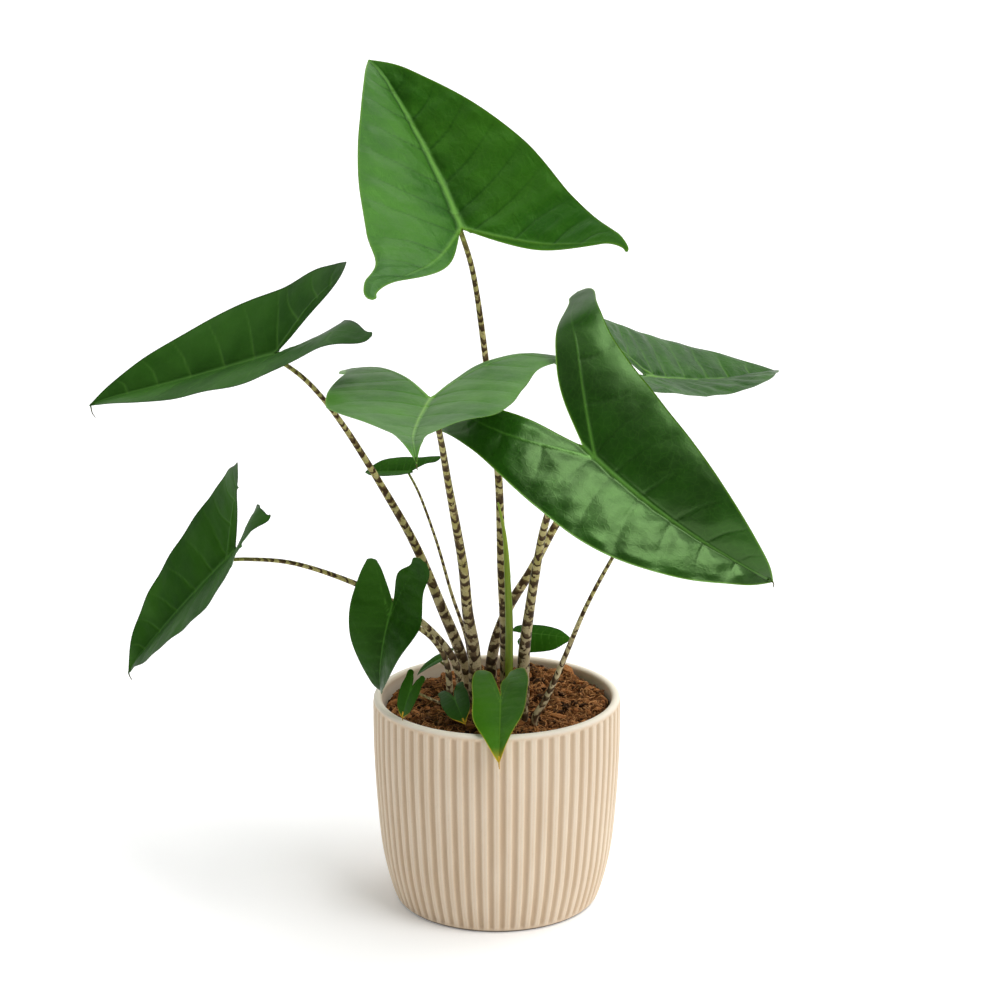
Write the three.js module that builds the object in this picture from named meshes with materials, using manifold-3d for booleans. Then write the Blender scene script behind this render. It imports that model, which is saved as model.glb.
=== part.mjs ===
// Potted alocasia: a fluted cylindrical pot filled with soil, fourteen arrow-shaped leaf blades on
// banded stems, and one new leaf that is still rolled up. Units are millimetres and +Z is up.
// The origin is the centre of the pot's flat base, and the front of the plant faces -Y.
import * as THREE from "three";
import Module from "manifold-3d";
import { mergeVertices } from "three/addons/utils/BufferGeometryUtils.js";

const wasm = await Module();
wasm.setup();

// ---- pot ----
const POT_HEIGHT = 172;
const POT_RIM_INNER_RADIUS = 92;
const POT_WALL_SEGMENTS = 48;
const POT_FLOOR_THICKNESS = 12;
const FLUTE_COUNT = 64;
const FLUTE_DEPTH = 1.8;
// outer wall from the base up: [height, radius, share of the flute depth]
const POT_OUTER_PROFILE = [
  [0, 80, 0],
  [2.5, 82.5, 0],
  [8, 84.8, 0.8],
  [24, 89.4, 1],
  [45, 93.5, 1],
  [87, 97.3, 1],
  [130, 99.4, 1],
  [161, 99.6, 1],
  [165, 99.6, 0],
  [170, 98.8, 0],
  [172, 96.6, 0],
];
// cavity from the mouth down: [height, radius]
const POT_CAVITY_PROFILE = [
  [173, 92.6],
  [168, 92],
  [110, 91],
  [45, 85.5],
  [POT_FLOOR_THICKNESS, 76],
];

// ---- soil ----
const SOIL_GAP = 0.4;
const SOIL_EDGE_HEIGHT = 160;
const SOIL_MOUND_HEIGHT = 5;
const SOIL_BACK_RIGHT_RISE = 6;
const SOIL_RISE_SPAN = 150;
const SOIL_LUMP = 2.6;
const SOIL_RING_RADII = [78, 62, 46, 30, 15];
const STEM_ROOT_HEIGHT = 124;
const STEM_HOLE_GAP = 0.8;
const STEM_HOLE_SIDES = 10;
const STEM_UPRIGHT_HEIGHT = 171;
const UPRIGHT_MARGIN = 8;
const STEM_TAPER = 1.3;
const STEM_STEP = 20;

// ---- leaves ----
const LARGE_BLADE_THICKNESS = 0.9;
const SMALL_BLADE_THICKNESS = 0.7;
const BLADE_STEM_GAP = 0.4;
const CAMBER_WIDTH_SHARE = 0.4;
const LOBE_LENGTH_SHARE = 0.6;
const LOBE_BLEND_SHARE = 0.1;
const DROOP_START = 0.8;
const CURL_START = 0.7;
const ATTACH_MARGIN = 3;
const LARGE_LENGTH = 100;
// places along the blade, as shares of its length, of its half widths and of its rows of faces
const WIDTH_PLACES = [0.66, 0.33, 0];
const NARROW_PLACE = 0.88;
const NARROW_SHARE = 0.4;
const ROW_PLACES = [1, 0.86, 0.62, 0.26];
const LOBE_ARC = [0, 45, 90];

const GREEN = {
  light: { color: 0x3f8a33, roughness: 0.5 },
  satin: { color: 0x4f8f45, roughness: 0.45 },
  dark: { color: 0x1f5526, roughness: 0.35 },
  small: { color: 0x2a5f26, roughness: 0.4 },
  fresh: { color: 0x5c9a2b, roughness: 0.35 },
};
const STEM_COLOR = { color: 0x9a9468, roughness: 0.6 };

// Each blade is drawn flat, then bent. Along the flat blade the tip is at +length, the stem joins at
// 0 and the two lobes reach back. left and right are half widths two thirds and one third of the way
// to the tip, at the stem, and half way down the lobe. reach, spread and inner place the lobe ends
// and the inside of each lobe, and blunt is the radius that rounds each lobe end. Bending angles are
// in degrees: arch and droop bend the midrib downwards (droop only near the tip), fold and camber
// shape each half from the midrib outwards, lobe and curl bend the lobes, twist turns the tip, and
// sweep moves it sideways in millimetres. at is where the stem joins; turn is the compass heading,
// the downward dip and the roll of the midrib. stem lists the points that the stem passes through
// above the soil, and root its place in it.
const SHAPED_LEAVES = [
  {
    name: "leaf_top",
    green: GREEN.light,
    at: [-25, 5, 543],
    turn: [115, -44, -7],
    length: 177,
    notch: -7,
    left: [44, 74, 89, 92],
    right: [45, 72, 87, 100],
    reach: [96, 87],
    spread: [105, 112],
    inner: [33, 48],
    blunt: [5, 2],
    arch: -8,
    droop: 20,
    fold: [27, 21],
    camber: [12, -10],
    lobe: [-42, -23],
    curl: [29, 38],
    twist: -5,
    sweep: 26,
    root: [7, 1],
    stem: [[6, 1, 234], [4, 2, 272], [3, 3, 312], [1, 5, 357], [-9, 8, 449], [-19, 8, 517]],
    stemRadius: [4.3, 2],
  },
  {
    name: "leaf_left_high",
    green: GREEN.dark,
    at: [-173, 20, 448],
    turn: [153, 20, -30],
    length: 181,
    notch: -2,
    left: [37, 52, 61, 58],
    right: [30, 49, 57, 60],
    reach: [129, 97],
    spread: [58, 42],
    inner: [-4, 24],
    blunt: [8, 1],
    arch: -9,
    droop: 9,
    fold: [30, 36],
    camber: [29, 26],
    lobe: [-20, -29],
    curl: [29, -14],
    twist: -4,
    sweep: 11,
    root: [-22, 5],
    stem: [[-28, 5, 201], [-45, 6, 245], [-64, 8, 292], [-85, 11, 331], [-126, 14, 398], [-151, 15, 428]],
    stemRadius: [5.2, 1.7],
  },
  {
    name: "leaf_middle",
    green: GREEN.satin,
    at: [-49, -92, 438],
    turn: [-100, 6, 2],
    length: 185,
    notch: 1,
    left: [15, 61, 71, 75],
    right: [19, 66, 78, 80],
    reach: [122, 102],
    spread: [81, 110],
    inner: [20, 42],
    blunt: [18, 4],
    arch: -18,
    droop: 43,
    fold: [19, 16],
    camber: [28, 22],
    lobe: [3, 16],
    curl: [43, 31],
    twist: -1,
    sweep: 28,
    root: [-17, -9],
    stem: [
      [-18, -11, 210],
      [-23, -16, 245],
      [-26, -26, 284],
      [-31, -39, 321],
      [-37, -56, 362],
      [-43, -78, 407],
    ],
    stemRadius: [5.6, 2.2],
  },
  {
    name: "leaf_right_big",
    green: GREEN.dark,
    at: [73, -90, 392],
    turn: [-32, 35, 47],
    length: 166,
    notch: 12,
    left: [33, 55, 67, 76],
    right: [37, 57, 63, 68],
    reach: [124, 119],
    spread: [77, 69],
    inner: [23, 24],
    blunt: [12, 11],
    arch: 26,
    droop: 29,
    fold: [21, 24],
    camber: [29, 24],
    lobe: [11, 21],
    curl: [37, 33],
    twist: 4,
    sweep: 35,
    root: [21, -6],
    stem: [[22, -7, 209], [26, -12, 246], [30, -18, 275], [39, -36, 329], [53, -56, 366]],
    stemRadius: [5.3, 2.1],
  },
  {
    name: "leaf_right_rear",
    green: GREEN.dark,
    at: [129, 100, 411],
    turn: [51, 15, 26],
    length: 158,
    notch: 12,
    left: [42, 53, 55, 59],
    right: [43, 55, 54, 58],
    reach: [105, 106],
    spread: [35, 39],
    inner: [22, 14],
    blunt: [7, 7],
    arch: -22,
    droop: 9,
    fold: [24, 24],
    camber: [16, 16],
    lobe: [-27, 3],
    curl: [-21, 2],
    twist: -25,
    sweep: -9,
    root: [-5, 6],
    stem: [[-3, 9, 205], [8, 20, 235], [28, 35, 265], [48, 56, 297], [85, 82, 348], [112, 92, 385]],
    stemRadius: [5.1, 2],
  },
  {
    name: "leaf_left_low",
    green: GREEN.dark,
    at: [-212, -20, 291],
    turn: [140, 42, -51],
    length: 181,
    notch: 13,
    left: [33, 50, 62, 50],
    right: [28, 43, 56, 55],
    reach: [118, 89],
    spread: [51, 31],
    inner: [-6, 24],
    blunt: [4, 1],
    arch: 5,
    droop: 6,
    fold: [29, 35],
    camber: [29, 32],
    lobe: [-27, -42],
    curl: [40, 21],
    twist: -8,
    sweep: 1,
    root: [-28, -16],
    stem: [
      [-33, -16, 203],
      [-52, -16, 230],
      [-84, -18, 256],
      [-122, -20, 275],
      [-163, -20, 288],
      [-196, -21, 291],
    ],
    stemRadius: [3.4, 1.5],
  },
  {
    name: "leaf_front_dark",
    green: GREEN.small,
    at: [-83, -58, 257],
    turn: [-159, 74, -44],
    length: 79,
    notch: 10,
    left: [15, 24, 33, 29],
    right: [15, 27, 32, 30],
    reach: [57, 48],
    spread: [22, 20],
    inner: [-1, 9],
    blunt: [10, 5],
    arch: 46,
    droop: 22,
    fold: [28, 30],
    camber: [21, 18],
    lobe: [-10, -22],
    curl: [-7, -14],
    twist: 32,
    sweep: -3,
    root: [-37, -28],
    stem: [[-40, -29, 209], [-50, -32, 228], [-63, -38, 241], [-74, -46, 250]],
    stemRadius: [2.8, 1.6],
  },
  {
    name: "leaf_front_bright",
    green: GREEN.fresh,
    at: [3, -72, 191],
    turn: [-91, 26, 7],
    length: 61,
    notch: 7,
    left: [10, 20, 22, 23],
    right: [11, 21, 22, 23],
    reach: [36, 35],
    spread: [13, 14],
    inner: [0, 4],
    blunt: [8, 8],
    arch: 9,
    droop: 12,
    fold: [23, 23],
    camber: [19, 17],
    lobe: [17, 12],
    curl: [11, 7],
    twist: 17,
    sweep: -1,
    root: [22, -45],
    stem: [[20, -49, 181], [13, -56, 187]],
    stemRadius: [2.9, 1.3],
  },
  {
    name: "leaf_back_right",
    green: GREEN.dark,
    at: [27, 60, 203],
    turn: [-17, -3, 32],
    length: 36,
    notch: 3,
    left: [8, 11, 12, 12],
    right: [12, 16, 17, 14],
    reach: [17, 9],
    spread: [7, 8],
    inner: [1, 1],
    blunt: [5, 4],
    arch: 13,
    droop: 4,
    fold: [0, 0],
    camber: [28, 28],
    lobe: [20, 4],
    curl: [4, 5],
    twist: 3,
    sweep: -1,
    root: [20, 54],
    stem: [[22, 56, 190]],
    stemRadius: [1.5, 1.1],
  },
  {
    name: "leaf_back_high",
    green: GREEN.dark,
    at: [-72, 80, 336],
    turn: [149, 8, -21],
    length: 47,
    notch: 2,
    left: [12, 15, 14, 11],
    right: [13, 17, 17, 17],
    reach: [8, 27],
    spread: [7, 11],
    inner: [1, 7],
    blunt: [3, 4],
    arch: 5,
    droop: 12,
    fold: [27, 21],
    camber: [16, 26],
    lobe: [0, -12],
    curl: [2, 3],
    twist: -5,
    sweep: -3,
    root: [-22, 26],
    stem: [[-24, 29, 205], [-37, 38, 245], [-49, 52, 284], [-64, 70, 321]],
    stemRadius: [1.8, 1],
  },
];

// The smallest leaves share one outline, given as shares of the blade's length, and one bend.
const SMALL_OUTLINE = {
  notch: 0.1,
  widths: [0.27, 0.35, 0.38, 0.35],
  reach: 0.58,
  spread: 0.25,
  inner: 0.06,
  blunt: 0.12,
};
const SMALL_BEND = {
  arch: 16,
  droop: 10,
  fold: [16, 16],
  camber: [20, 20],
  lobe: [8, 8],
  curl: [5, 5],
  twist: 0,
  sweep: 0,
};
const SMALLEST_LEAVES = [
  {
    name: "leaf_front_yellow",
    green: GREEN.small,
    at: [-33, -50, 185],
    turn: [-77, 13, 27],
    length: 31,
    root: [-27, -41],
    stem: [[-28, -43, 177]],
    stemRadius: [1.2, 0.9],
  },
  {
    name: "leaf_front_narrow",
    green: GREEN.small,
    at: [-67, -62, 197],
    turn: [-163, 67, -34],
    length: 25,
    root: [-38, -37],
    stem: [[-41, -38, 175], [-53, -46, 184]],
    stemRadius: [1.3, 0.9],
  },
  {
    name: "leaf_back_left",
    green: GREEN.dark,
    at: [-47, 38, 188],
    turn: [173, 30, -8],
    length: 24,
    root: [-38, 37],
    stem: [[-40, 38, 180]],
    stemRadius: [1.2, 0.9],
  },
  {
    name: "leaf_right_hidden",
    green: GREEN.dark,
    at: [106, -36, 322],
    turn: [50, -4, 30],
    length: 42,
    root: [30, -53],
    stem: [[38, -50, 184], [50, -46, 210], [70, -40, 258], [90, -38, 297], [97, -37, 309]],
    stemRadius: [2.6, 1.3],
  },
];

// ---- rolled new leaf ----
const SPEAR_ROOT = [10, -9];
const SPEAR_POINTS = [[10, -9, 197], [10, -9, 236], [9, -9, 263], [7, -9, 299], [5, -9, 315], [1, -9, 334]];
const SPEAR_RADII = [3.2, 3.4, 3.5, 3.2, 2.2, 0.7];

const rad = THREE.MathUtils.degToRad;

function smooth(x) {
  const t = THREE.MathUtils.clamp(x, 0, 1);
  return t * t * (3 - 2 * t);
}

function seededRandom(seed) {
  let state = seed;
  return () => {
    state = (state * 1664525 + 1013904223) % 4294967296;
    return state / 4294967296;
  };
}

// Smooth curve through flat points, with the given number of steps between neighbours
function curveThrough(points, steps) {
  const flat = points.map(([x, y]) => new THREE.Vector3(x, y, 0));
  const curve = new THREE.CatmullRomCurve3(flat, false, "centripetal");
  const count = (points.length - 1) * steps;
  const result = [];
  for (let k = 0; k <= count; k++) {
    const point = curve.getPoint(k / count);
    result.push([point.x, point.y]);
  }
  return result;
}

// A strip of the given distance whose slope grows evenly to total over span, and by extra more after start
function bendStrip(distance, span, total, extra, start) {
  const slope = (d) => total * (d / span) + extra * smooth((d / span - start) / (1 - start));
  const parts = 24;
  let along = 0;
  let down = 0;
  for (let k = 0; k < parts; k++) {
    const angle = slope((distance * (k + 0.5)) / parts);
    along += (distance * Math.cos(angle)) / parts;
    down += (distance * Math.sin(angle)) / parts;
  }
  return { along, down, angle: slope(distance) };
}

// Point of the bent blade for a flat point: side 0 is the left half and 1 the right half
function bentPoint(leaf, side, u, v) {
  const across = side === 0 ? v : -v;
  const fold = rad(leaf.fold[side]);
  const curvature = (rad(leaf.camber[side]) || 1e-6) / (CAMBER_WIDTH_SHARE * leaf.length);
  const lift = (Math.cos(fold - curvature * across) - Math.cos(fold)) / curvature;
  const out = (Math.sin(fold) - Math.sin(fold - curvature * across)) / curvature;
  let strip;
  let angle;
  if (u >= 0) {
    strip = bendStrip(u, leaf.length, rad(leaf.arch), rad(leaf.droop), DROOP_START);
    angle = -strip.angle;
  } else {
    const span = LOBE_LENGTH_SHARE * leaf.length;
    const own = smooth(across / (LOBE_BLEND_SHARE * leaf.length));
    const lobe = THREE.MathUtils.lerp(0.5 * (leaf.lobe[0] + leaf.lobe[1]), leaf.lobe[side], own);
    strip = bendStrip(-u, span, rad(lobe), rad(leaf.curl[side]), CURL_START);
    strip.along = -strip.along;
    angle = strip.angle;
  }
  const twist = rad(leaf.twist) * Math.max(u, 0) / leaf.length;
  const sign = side === 0 ? 1 : -1;
  const lateral = sign * out * Math.cos(twist) - lift * Math.sin(twist);
  const normal = sign * out * Math.sin(twist) + lift * Math.cos(twist);
  const shift = leaf.sweep * (u / leaf.length) ** 2;
  return new THREE.Vector3(
    strip.along - Math.sin(angle) * normal,
    lateral + shift,
    Math.cos(angle) * normal - strip.down,
  );
}

function sideNormal(leaf, side, u, v) {
  const step = 0.5;
  const alongU = bentPoint(leaf, side, u + step, v).sub(bentPoint(leaf, side, u - step, v));
  const outwards = side === 0 ? step : -step;
  const alongV = bentPoint(leaf, side, u, v + outwards).sub(bentPoint(leaf, side, u, v));
  const normal = alongU.cross(alongV).normalize();
  return side === 0 ? normal : normal.negate();
}

function bladeNormal(leaf, side, u, v) {
  if (v !== 0) {
    return sideNormal(leaf, side, u, v);
  }
  return sideNormal(leaf, 0, u, 0).add(sideNormal(leaf, 1, u, 0)).normalize();
}

// Flat edge and midline points of one half, row by row from the tip to the lobe tip
function halfOutline(leaf, side, steps) {
  const sign = side === 0 ? 1 : -1;
  const widths = side === 0 ? leaf.left : leaf.right;
  const reach = leaf.reach[side];
  const spread = leaf.spread[side];
  const blunt = leaf.blunt[side];
  const { length, notch } = leaf;
  const lobeEnd = (away) => LOBE_ARC.map(rad).map((angle) => [
    blunt * (1 - Math.sin(angle)) - reach,
    sign * (spread + away * blunt * Math.cos(angle)),
  ]);
  const edge = [
    [length, 0],
    [NARROW_PLACE * length, sign * NARROW_SHARE * widths[0]],
    ...WIDTH_PLACES.map((place, k) => [place * length, sign * widths[k]]),
    [-0.5 * reach, sign * widths[3]],
    ...lobeEnd(1),
  ];
  const inside = [
    [-notch, 0],
    [-(reach + notch) / 2, sign * leaf.inner[side]],
    ...lobeEnd(-1),
  ];
  const midline = [...ROW_PLACES.map((place) => place * length), -notch];
  const spine = [];
  for (let i = 0; i < midline.length - 1; i++) {
    for (let k = 0; k < steps; k++) {
      spine.push([THREE.MathUtils.lerp(midline[i], midline[i + 1], k / steps), 0]);
    }
  }
  const insideStart = spine.length;
  spine.push(...curveThrough(inside, steps));
  return { edge: curveThrough(edge, steps), spine, insideStart };
}

function turnQuaternion(turn) {
  const [heading, dip, roll] = turn.map(rad);
  return new THREE.Quaternion().setFromEuler(new THREE.Euler(roll, dip, heading, "ZYX"));
}

function closedGeometry(positions, indices) {
  const geometry = new THREE.BufferGeometry();
  geometry.setAttribute("position", new THREE.Float32BufferAttribute(positions, 3));
  geometry.setIndex(indices);
  return mergeVertices(geometry, 1e-3);
}

// A blade is a thin closed sheet: the same triangles above and below, and a wall round the edge
function bladeGeometry(leaf, divisions, thickness) {
  const positions = [];
  const indices = [];
  const vertex = (side, point, offset) => {
    const [u, v] = point;
    const place = bentPoint(leaf, side, u, v).addScaledVector(bladeNormal(leaf, side, u, v), -offset);
    positions.push(place.x, place.y, place.z);
    return positions.length / 3 - 1;
  };
  for (const side of [0, 1]) {
    const { edge, spine, insideStart } = halfOutline(leaf, side, divisions);
    const rows = edge.length - 1;
    const face = (a, b, c) => indices.push(...(side === 0 ? [a, b, c] : [a, c, b]));
    const grid = [0, thickness].map((offset) => edge.map((outer, i) => {
      const points = [];
      const inner = spine[i];
      const single = i === 0 || i === rows;
      for (let j = 0; j <= divisions; j++) {
        const t = j / divisions;
        const point = inner.map((value, axis) => THREE.MathUtils.lerp(value, outer[axis], t));
        points.push(single && j > 0 ? points[0] : vertex(side, point, offset));
      }
      return points;
    }));
    const [top, bottom] = grid;
    for (let i = 0; i < rows; i++) {
      for (let j = 0; j < divisions; j++) {
        if (i > 0) {
          face(top[i][j], top[i][j + 1], top[i + 1][j]);
          face(bottom[i][j], bottom[i + 1][j], bottom[i][j + 1]);
        }
        if (i < rows - 1) {
          face(top[i][j + 1], top[i + 1][j + 1], top[i + 1][j]);
          face(bottom[i][j + 1], bottom[i + 1][j], bottom[i + 1][j + 1]);
        }
      }
      face(top[i + 1][divisions], top[i][divisions], bottom[i][divisions]);
      face(top[i + 1][divisions], bottom[i][divisions], bottom[i + 1][divisions]);
      if (i >= insideStart) {
        face(top[i][0], top[i + 1][0], bottom[i + 1][0]);
        face(top[i][0], bottom[i + 1][0], bottom[i][0]);
      }
    }
  }
  return closedGeometry(positions, indices);
}

// A round tapering rod along a smooth path; radiusAt gives the radius for a share of the length
function rodGeometry(points, radiusAt, sides, steps) {
  const curve = new THREE.CatmullRomCurve3(points, false, "centripetal");
  const frames = curve.computeFrenetFrames(steps, false);
  const positions = [];
  const indices = [];
  for (let i = 0; i <= steps; i++) {
    const centre = curve.getPointAt(i / steps);
    const radius = radiusAt(i / steps);
    for (let j = 0; j < sides; j++) {
      const angle = (2 * Math.PI * j) / sides;
      const rim = centre.clone();
      rim.addScaledVector(frames.normals[i], radius * Math.cos(angle));
      rim.addScaledVector(frames.binormals[i], radius * Math.sin(angle));
      positions.push(rim.x, rim.y, rim.z);
    }
  }
  const ring = (i, j) => i * sides + (j % sides);
  for (let i = 0; i < steps; i++) {
    for (let j = 0; j < sides; j++) {
      indices.push(ring(i, j), ring(i, j + 1), ring(i + 1, j + 1));
      indices.push(ring(i, j), ring(i + 1, j + 1), ring(i + 1, j));
    }
  }
  for (let j = 1; j < sides - 1; j++) {
    indices.push(ring(0, 0), ring(0, j + 1), ring(0, j));
    indices.push(ring(steps, 0), ring(steps, j), ring(steps, j + 1));
  }
  return closedGeometry(positions, indices);
}

// Stems stand upright in the soil and lean only above it
function rootPoints(root) {
  const [x, y] = root;
  return [
    new THREE.Vector3(x, y, STEM_ROOT_HEIGHT),
    new THREE.Vector3(x, y, 0.5 * (STEM_ROOT_HEIGHT + STEM_UPRIGHT_HEIGHT)),
    new THREE.Vector3(x, y, STEM_UPRIGHT_HEIGHT - UPRIGHT_MARGIN),
    new THREE.Vector3(x, y, STEM_UPRIGHT_HEIGHT),
  ];
}

// The stem ends just under the blade, where its veins meet
function stemGeometry(leaf, thickness, sides) {
  const [baseRadius, topRadius] = leaf.stemRadius;
  const attach = Math.max(0, ATTACH_MARGIN - leaf.notch);
  const depth = thickness + BLADE_STEM_GAP + topRadius;
  const end = bentPoint(leaf, 0, attach, 0).addScaledVector(bladeNormal(leaf, 0, attach, 0), -depth);
  end.applyQuaternion(turnQuaternion(leaf.turn)).add(new THREE.Vector3(...leaf.at));
  const points = [...rootPoints(leaf.root), ...leaf.stem.map((p) => new THREE.Vector3(...p)), end];
  const length = new THREE.CatmullRomCurve3(points, false, "centripetal").getLength();
  const soilShare = (STEM_UPRIGHT_HEIGHT - STEM_ROOT_HEIGHT) / length;
  const radiusAt = (t) => {
    const above = THREE.MathUtils.clamp((t - soilShare) / (1 - soilShare), 0, 1);
    return topRadius + (baseRadius - topRadius) * (1 - above) ** STEM_TAPER;
  };
  return rodGeometry(points, radiusAt, sides, Math.max(6, Math.round(length / STEM_STEP)));
}

function spearGeometry() {
  const points = [...rootPoints(SPEAR_ROOT), ...SPEAR_POINTS.map((p) => new THREE.Vector3(...p))];
  const radiusAt = (t) => {
    const place = t * (SPEAR_RADII.length - 1);
    const index = Math.min(Math.floor(place), SPEAR_RADII.length - 2);
    return THREE.MathUtils.lerp(SPEAR_RADII[index], SPEAR_RADII[index + 1], place - index);
  };
  return rodGeometry(points, radiusAt, 8, 16);
}

function solidFrom(geometry) {
  const vertProperties = new Float32Array(geometry.attributes.position.array);
  const triVerts = new Uint32Array(geometry.index.array);
  return new wasm.Manifold(new wasm.Mesh({ numProp: 3, vertProperties, triVerts }));
}

function geometryFrom(solid) {
  const mesh = solid.getMesh();
  return closedGeometry(Array.from(mesh.vertProperties), Array.from(mesh.triVerts));
}

// A solid of stacked rings: rings[i][j] are points, closed by a centre point at each end
function stackedRings(rings, bottomCentre, topCentre) {
  const sides = rings[0].length;
  const positions = [...rings.flat(2), ...bottomCentre, ...topCentre];
  const bottom = rings.length * sides;
  const indices = [];
  const at = (i, j) => i * sides + (j % sides);
  for (let j = 0; j < sides; j++) {
    for (let i = 0; i < rings.length - 1; i++) {
      indices.push(at(i, j), at(i, j + 1), at(i + 1, j + 1));
      indices.push(at(i, j), at(i + 1, j + 1), at(i + 1, j));
    }
    indices.push(bottom, at(0, j + 1), at(0, j));
    indices.push(bottom + 1, at(rings.length - 1, j), at(rings.length - 1, j + 1));
  }
  return closedGeometry(positions, indices);
}

function ringPoints(sides, pointAt) {
  return Array.from({ length: sides }, (_, j) => pointAt((2 * Math.PI * j) / sides, j));
}

// Ribs and grooves alternate round the wall and fade out at the foot and below the plain rim
function potGeometry() {
  const outer = POT_OUTER_PROFILE.map(([height, radius, share]) => (
    ringPoints(2 * FLUTE_COUNT, (angle, j) => {
      const r = radius - (j % 2) * FLUTE_DEPTH * share;
      return [r * Math.cos(angle), r * Math.sin(angle), height];
    })
  ));
  const body = solidFrom(stackedRings(outer, [0, 0, 0], [0, 0, POT_HEIGHT]));
  const cavityRings = [...POT_CAVITY_PROFILE].reverse().map(([height, radius]) => (
    ringPoints(POT_WALL_SEGMENTS, (angle) => [radius * Math.cos(angle), radius * Math.sin(angle), height])
  ));
  const mouth = POT_CAVITY_PROFILE[0][0];
  const cavity = solidFrom(stackedRings(cavityRings, [0, 0, POT_FLOOR_THICKNESS], [0, 0, mouth]));
  return geometryFrom(body.subtract(cavity));
}

// Soil fills the cavity and has a lumpy top that is a little higher at the back right
function soilGeometry(stems) {
  const random = seededRandom(7);
  const below = POT_CAVITY_PROFILE.filter(([height]) => height < SOIL_EDGE_HEIGHT).reverse();
  const [upper, lower] = [POT_CAVITY_PROFILE[1], POT_CAVITY_PROFILE[2]];
  const share = (SOIL_EDGE_HEIGHT - lower[0]) / (upper[0] - lower[0]);
  const edgeRadius = THREE.MathUtils.lerp(lower[1], upper[1], share);
  const wall = [...below, [SOIL_EDGE_HEIGHT, edgeRadius]].map(([height, radius], i) => (
    ringPoints(POT_WALL_SEGMENTS, (angle) => {
      const r = radius - SOIL_GAP;
      const z = i === 0 ? height + SOIL_GAP : height;
      return [r * Math.cos(angle), r * Math.sin(angle), z];
    })
  ));
  const surface = (x, y) => {
    const r = Math.hypot(x, y) / POT_RIM_INNER_RADIUS;
    const rise = SOIL_BACK_RIGHT_RISE * smooth((x + y) / SOIL_RISE_SPAN);
    return SOIL_EDGE_HEIGHT + SOIL_MOUND_HEIGHT * (1 - r * r) + rise;
  };
  const top = SOIL_RING_RADII.map((radius) => ringPoints(POT_WALL_SEGMENTS, (angle) => {
    const x = radius * Math.cos(angle);
    const y = radius * Math.sin(angle);
    return [x, y, surface(x, y) + SOIL_LUMP * (random() - 0.5)];
  }));
  const floor = [0, 0, POT_FLOOR_THICKNESS + SOIL_GAP];
  let solid = solidFrom(stackedRings([...wall, ...top], floor, [0, 0, surface(0, 0)]));
  for (const { root, radius } of stems) {
    const hole = (height) => ringPoints(STEM_HOLE_SIDES, (angle) => [
      root[0] + (radius + STEM_HOLE_GAP) * Math.cos(angle),
      root[1] + (radius + STEM_HOLE_GAP) * Math.sin(angle),
      height,
    ]);
    const foot = STEM_ROOT_HEIGHT - 1;
    const head = STEM_UPRIGHT_HEIGHT + UPRIGHT_MARGIN;
    const cutter = stackedRings([hole(foot), hole(head)], [...root, foot], [...root, head]);
    solid = solid.subtract(solidFrom(cutter));
  }
  return geometryFrom(solid);
}

function named(name, geometry, look) {
  const material = new THREE.MeshStandardMaterial({ ...look, metalness: 0 });
  const mesh = new THREE.Mesh(geometry, material);
  mesh.name = name;
  return mesh;
}

const plant = new THREE.Group();
plant.add(named("pot", potGeometry(), { color: 0xd8c6b0, roughness: 0.7 }));

const smallestLeaves = SMALLEST_LEAVES.map((leaf) => {
  const scaled = (share) => share * leaf.length;
  const pair = (share) => [scaled(share), scaled(share)];
  return {
    ...leaf,
    ...SMALL_BEND,
    notch: scaled(SMALL_OUTLINE.notch),
    left: SMALL_OUTLINE.widths.map(scaled),
    right: SMALL_OUTLINE.widths.map(scaled),
    reach: pair(SMALL_OUTLINE.reach),
    spread: pair(SMALL_OUTLINE.spread),
    inner: pair(SMALL_OUTLINE.inner),
    blunt: pair(SMALL_OUTLINE.blunt),
  };
});
const allLeaves = [...SHAPED_LEAVES, ...smallestLeaves];
const stems = allLeaves.map((leaf) => ({ root: leaf.root, radius: leaf.stemRadius[0] }));
stems.push({ root: SPEAR_ROOT, radius: Math.max(...SPEAR_RADII) });
plant.add(named("soil", soilGeometry(stems), { color: 0x5a3a26, roughness: 0.95 }));

for (const leaf of allLeaves) {
  const large = leaf.length > LARGE_LENGTH;
  const thickness = large ? LARGE_BLADE_THICKNESS : SMALL_BLADE_THICKNESS;
  const divisions = large ? 3 : 2;
  const blade = named(leaf.name + "_blade", bladeGeometry(leaf, divisions, thickness), leaf.green);
  blade.position.set(...leaf.at);
  blade.quaternion.copy(turnQuaternion(leaf.turn));
  plant.add(blade);
  const sides = leaf.stemRadius[0] > 2 ? 8 : 6;
  plant.add(named(leaf.name + "_stem", stemGeometry(leaf, thickness, sides), STEM_COLOR));
}
plant.add(named("rolled_leaf", spearGeometry(), GREEN.fresh));

export default plant;
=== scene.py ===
# Potted alocasia: fine blades, banded stems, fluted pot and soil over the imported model.
# Sizes are in millimetres until a mesh is made.
import math

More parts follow.
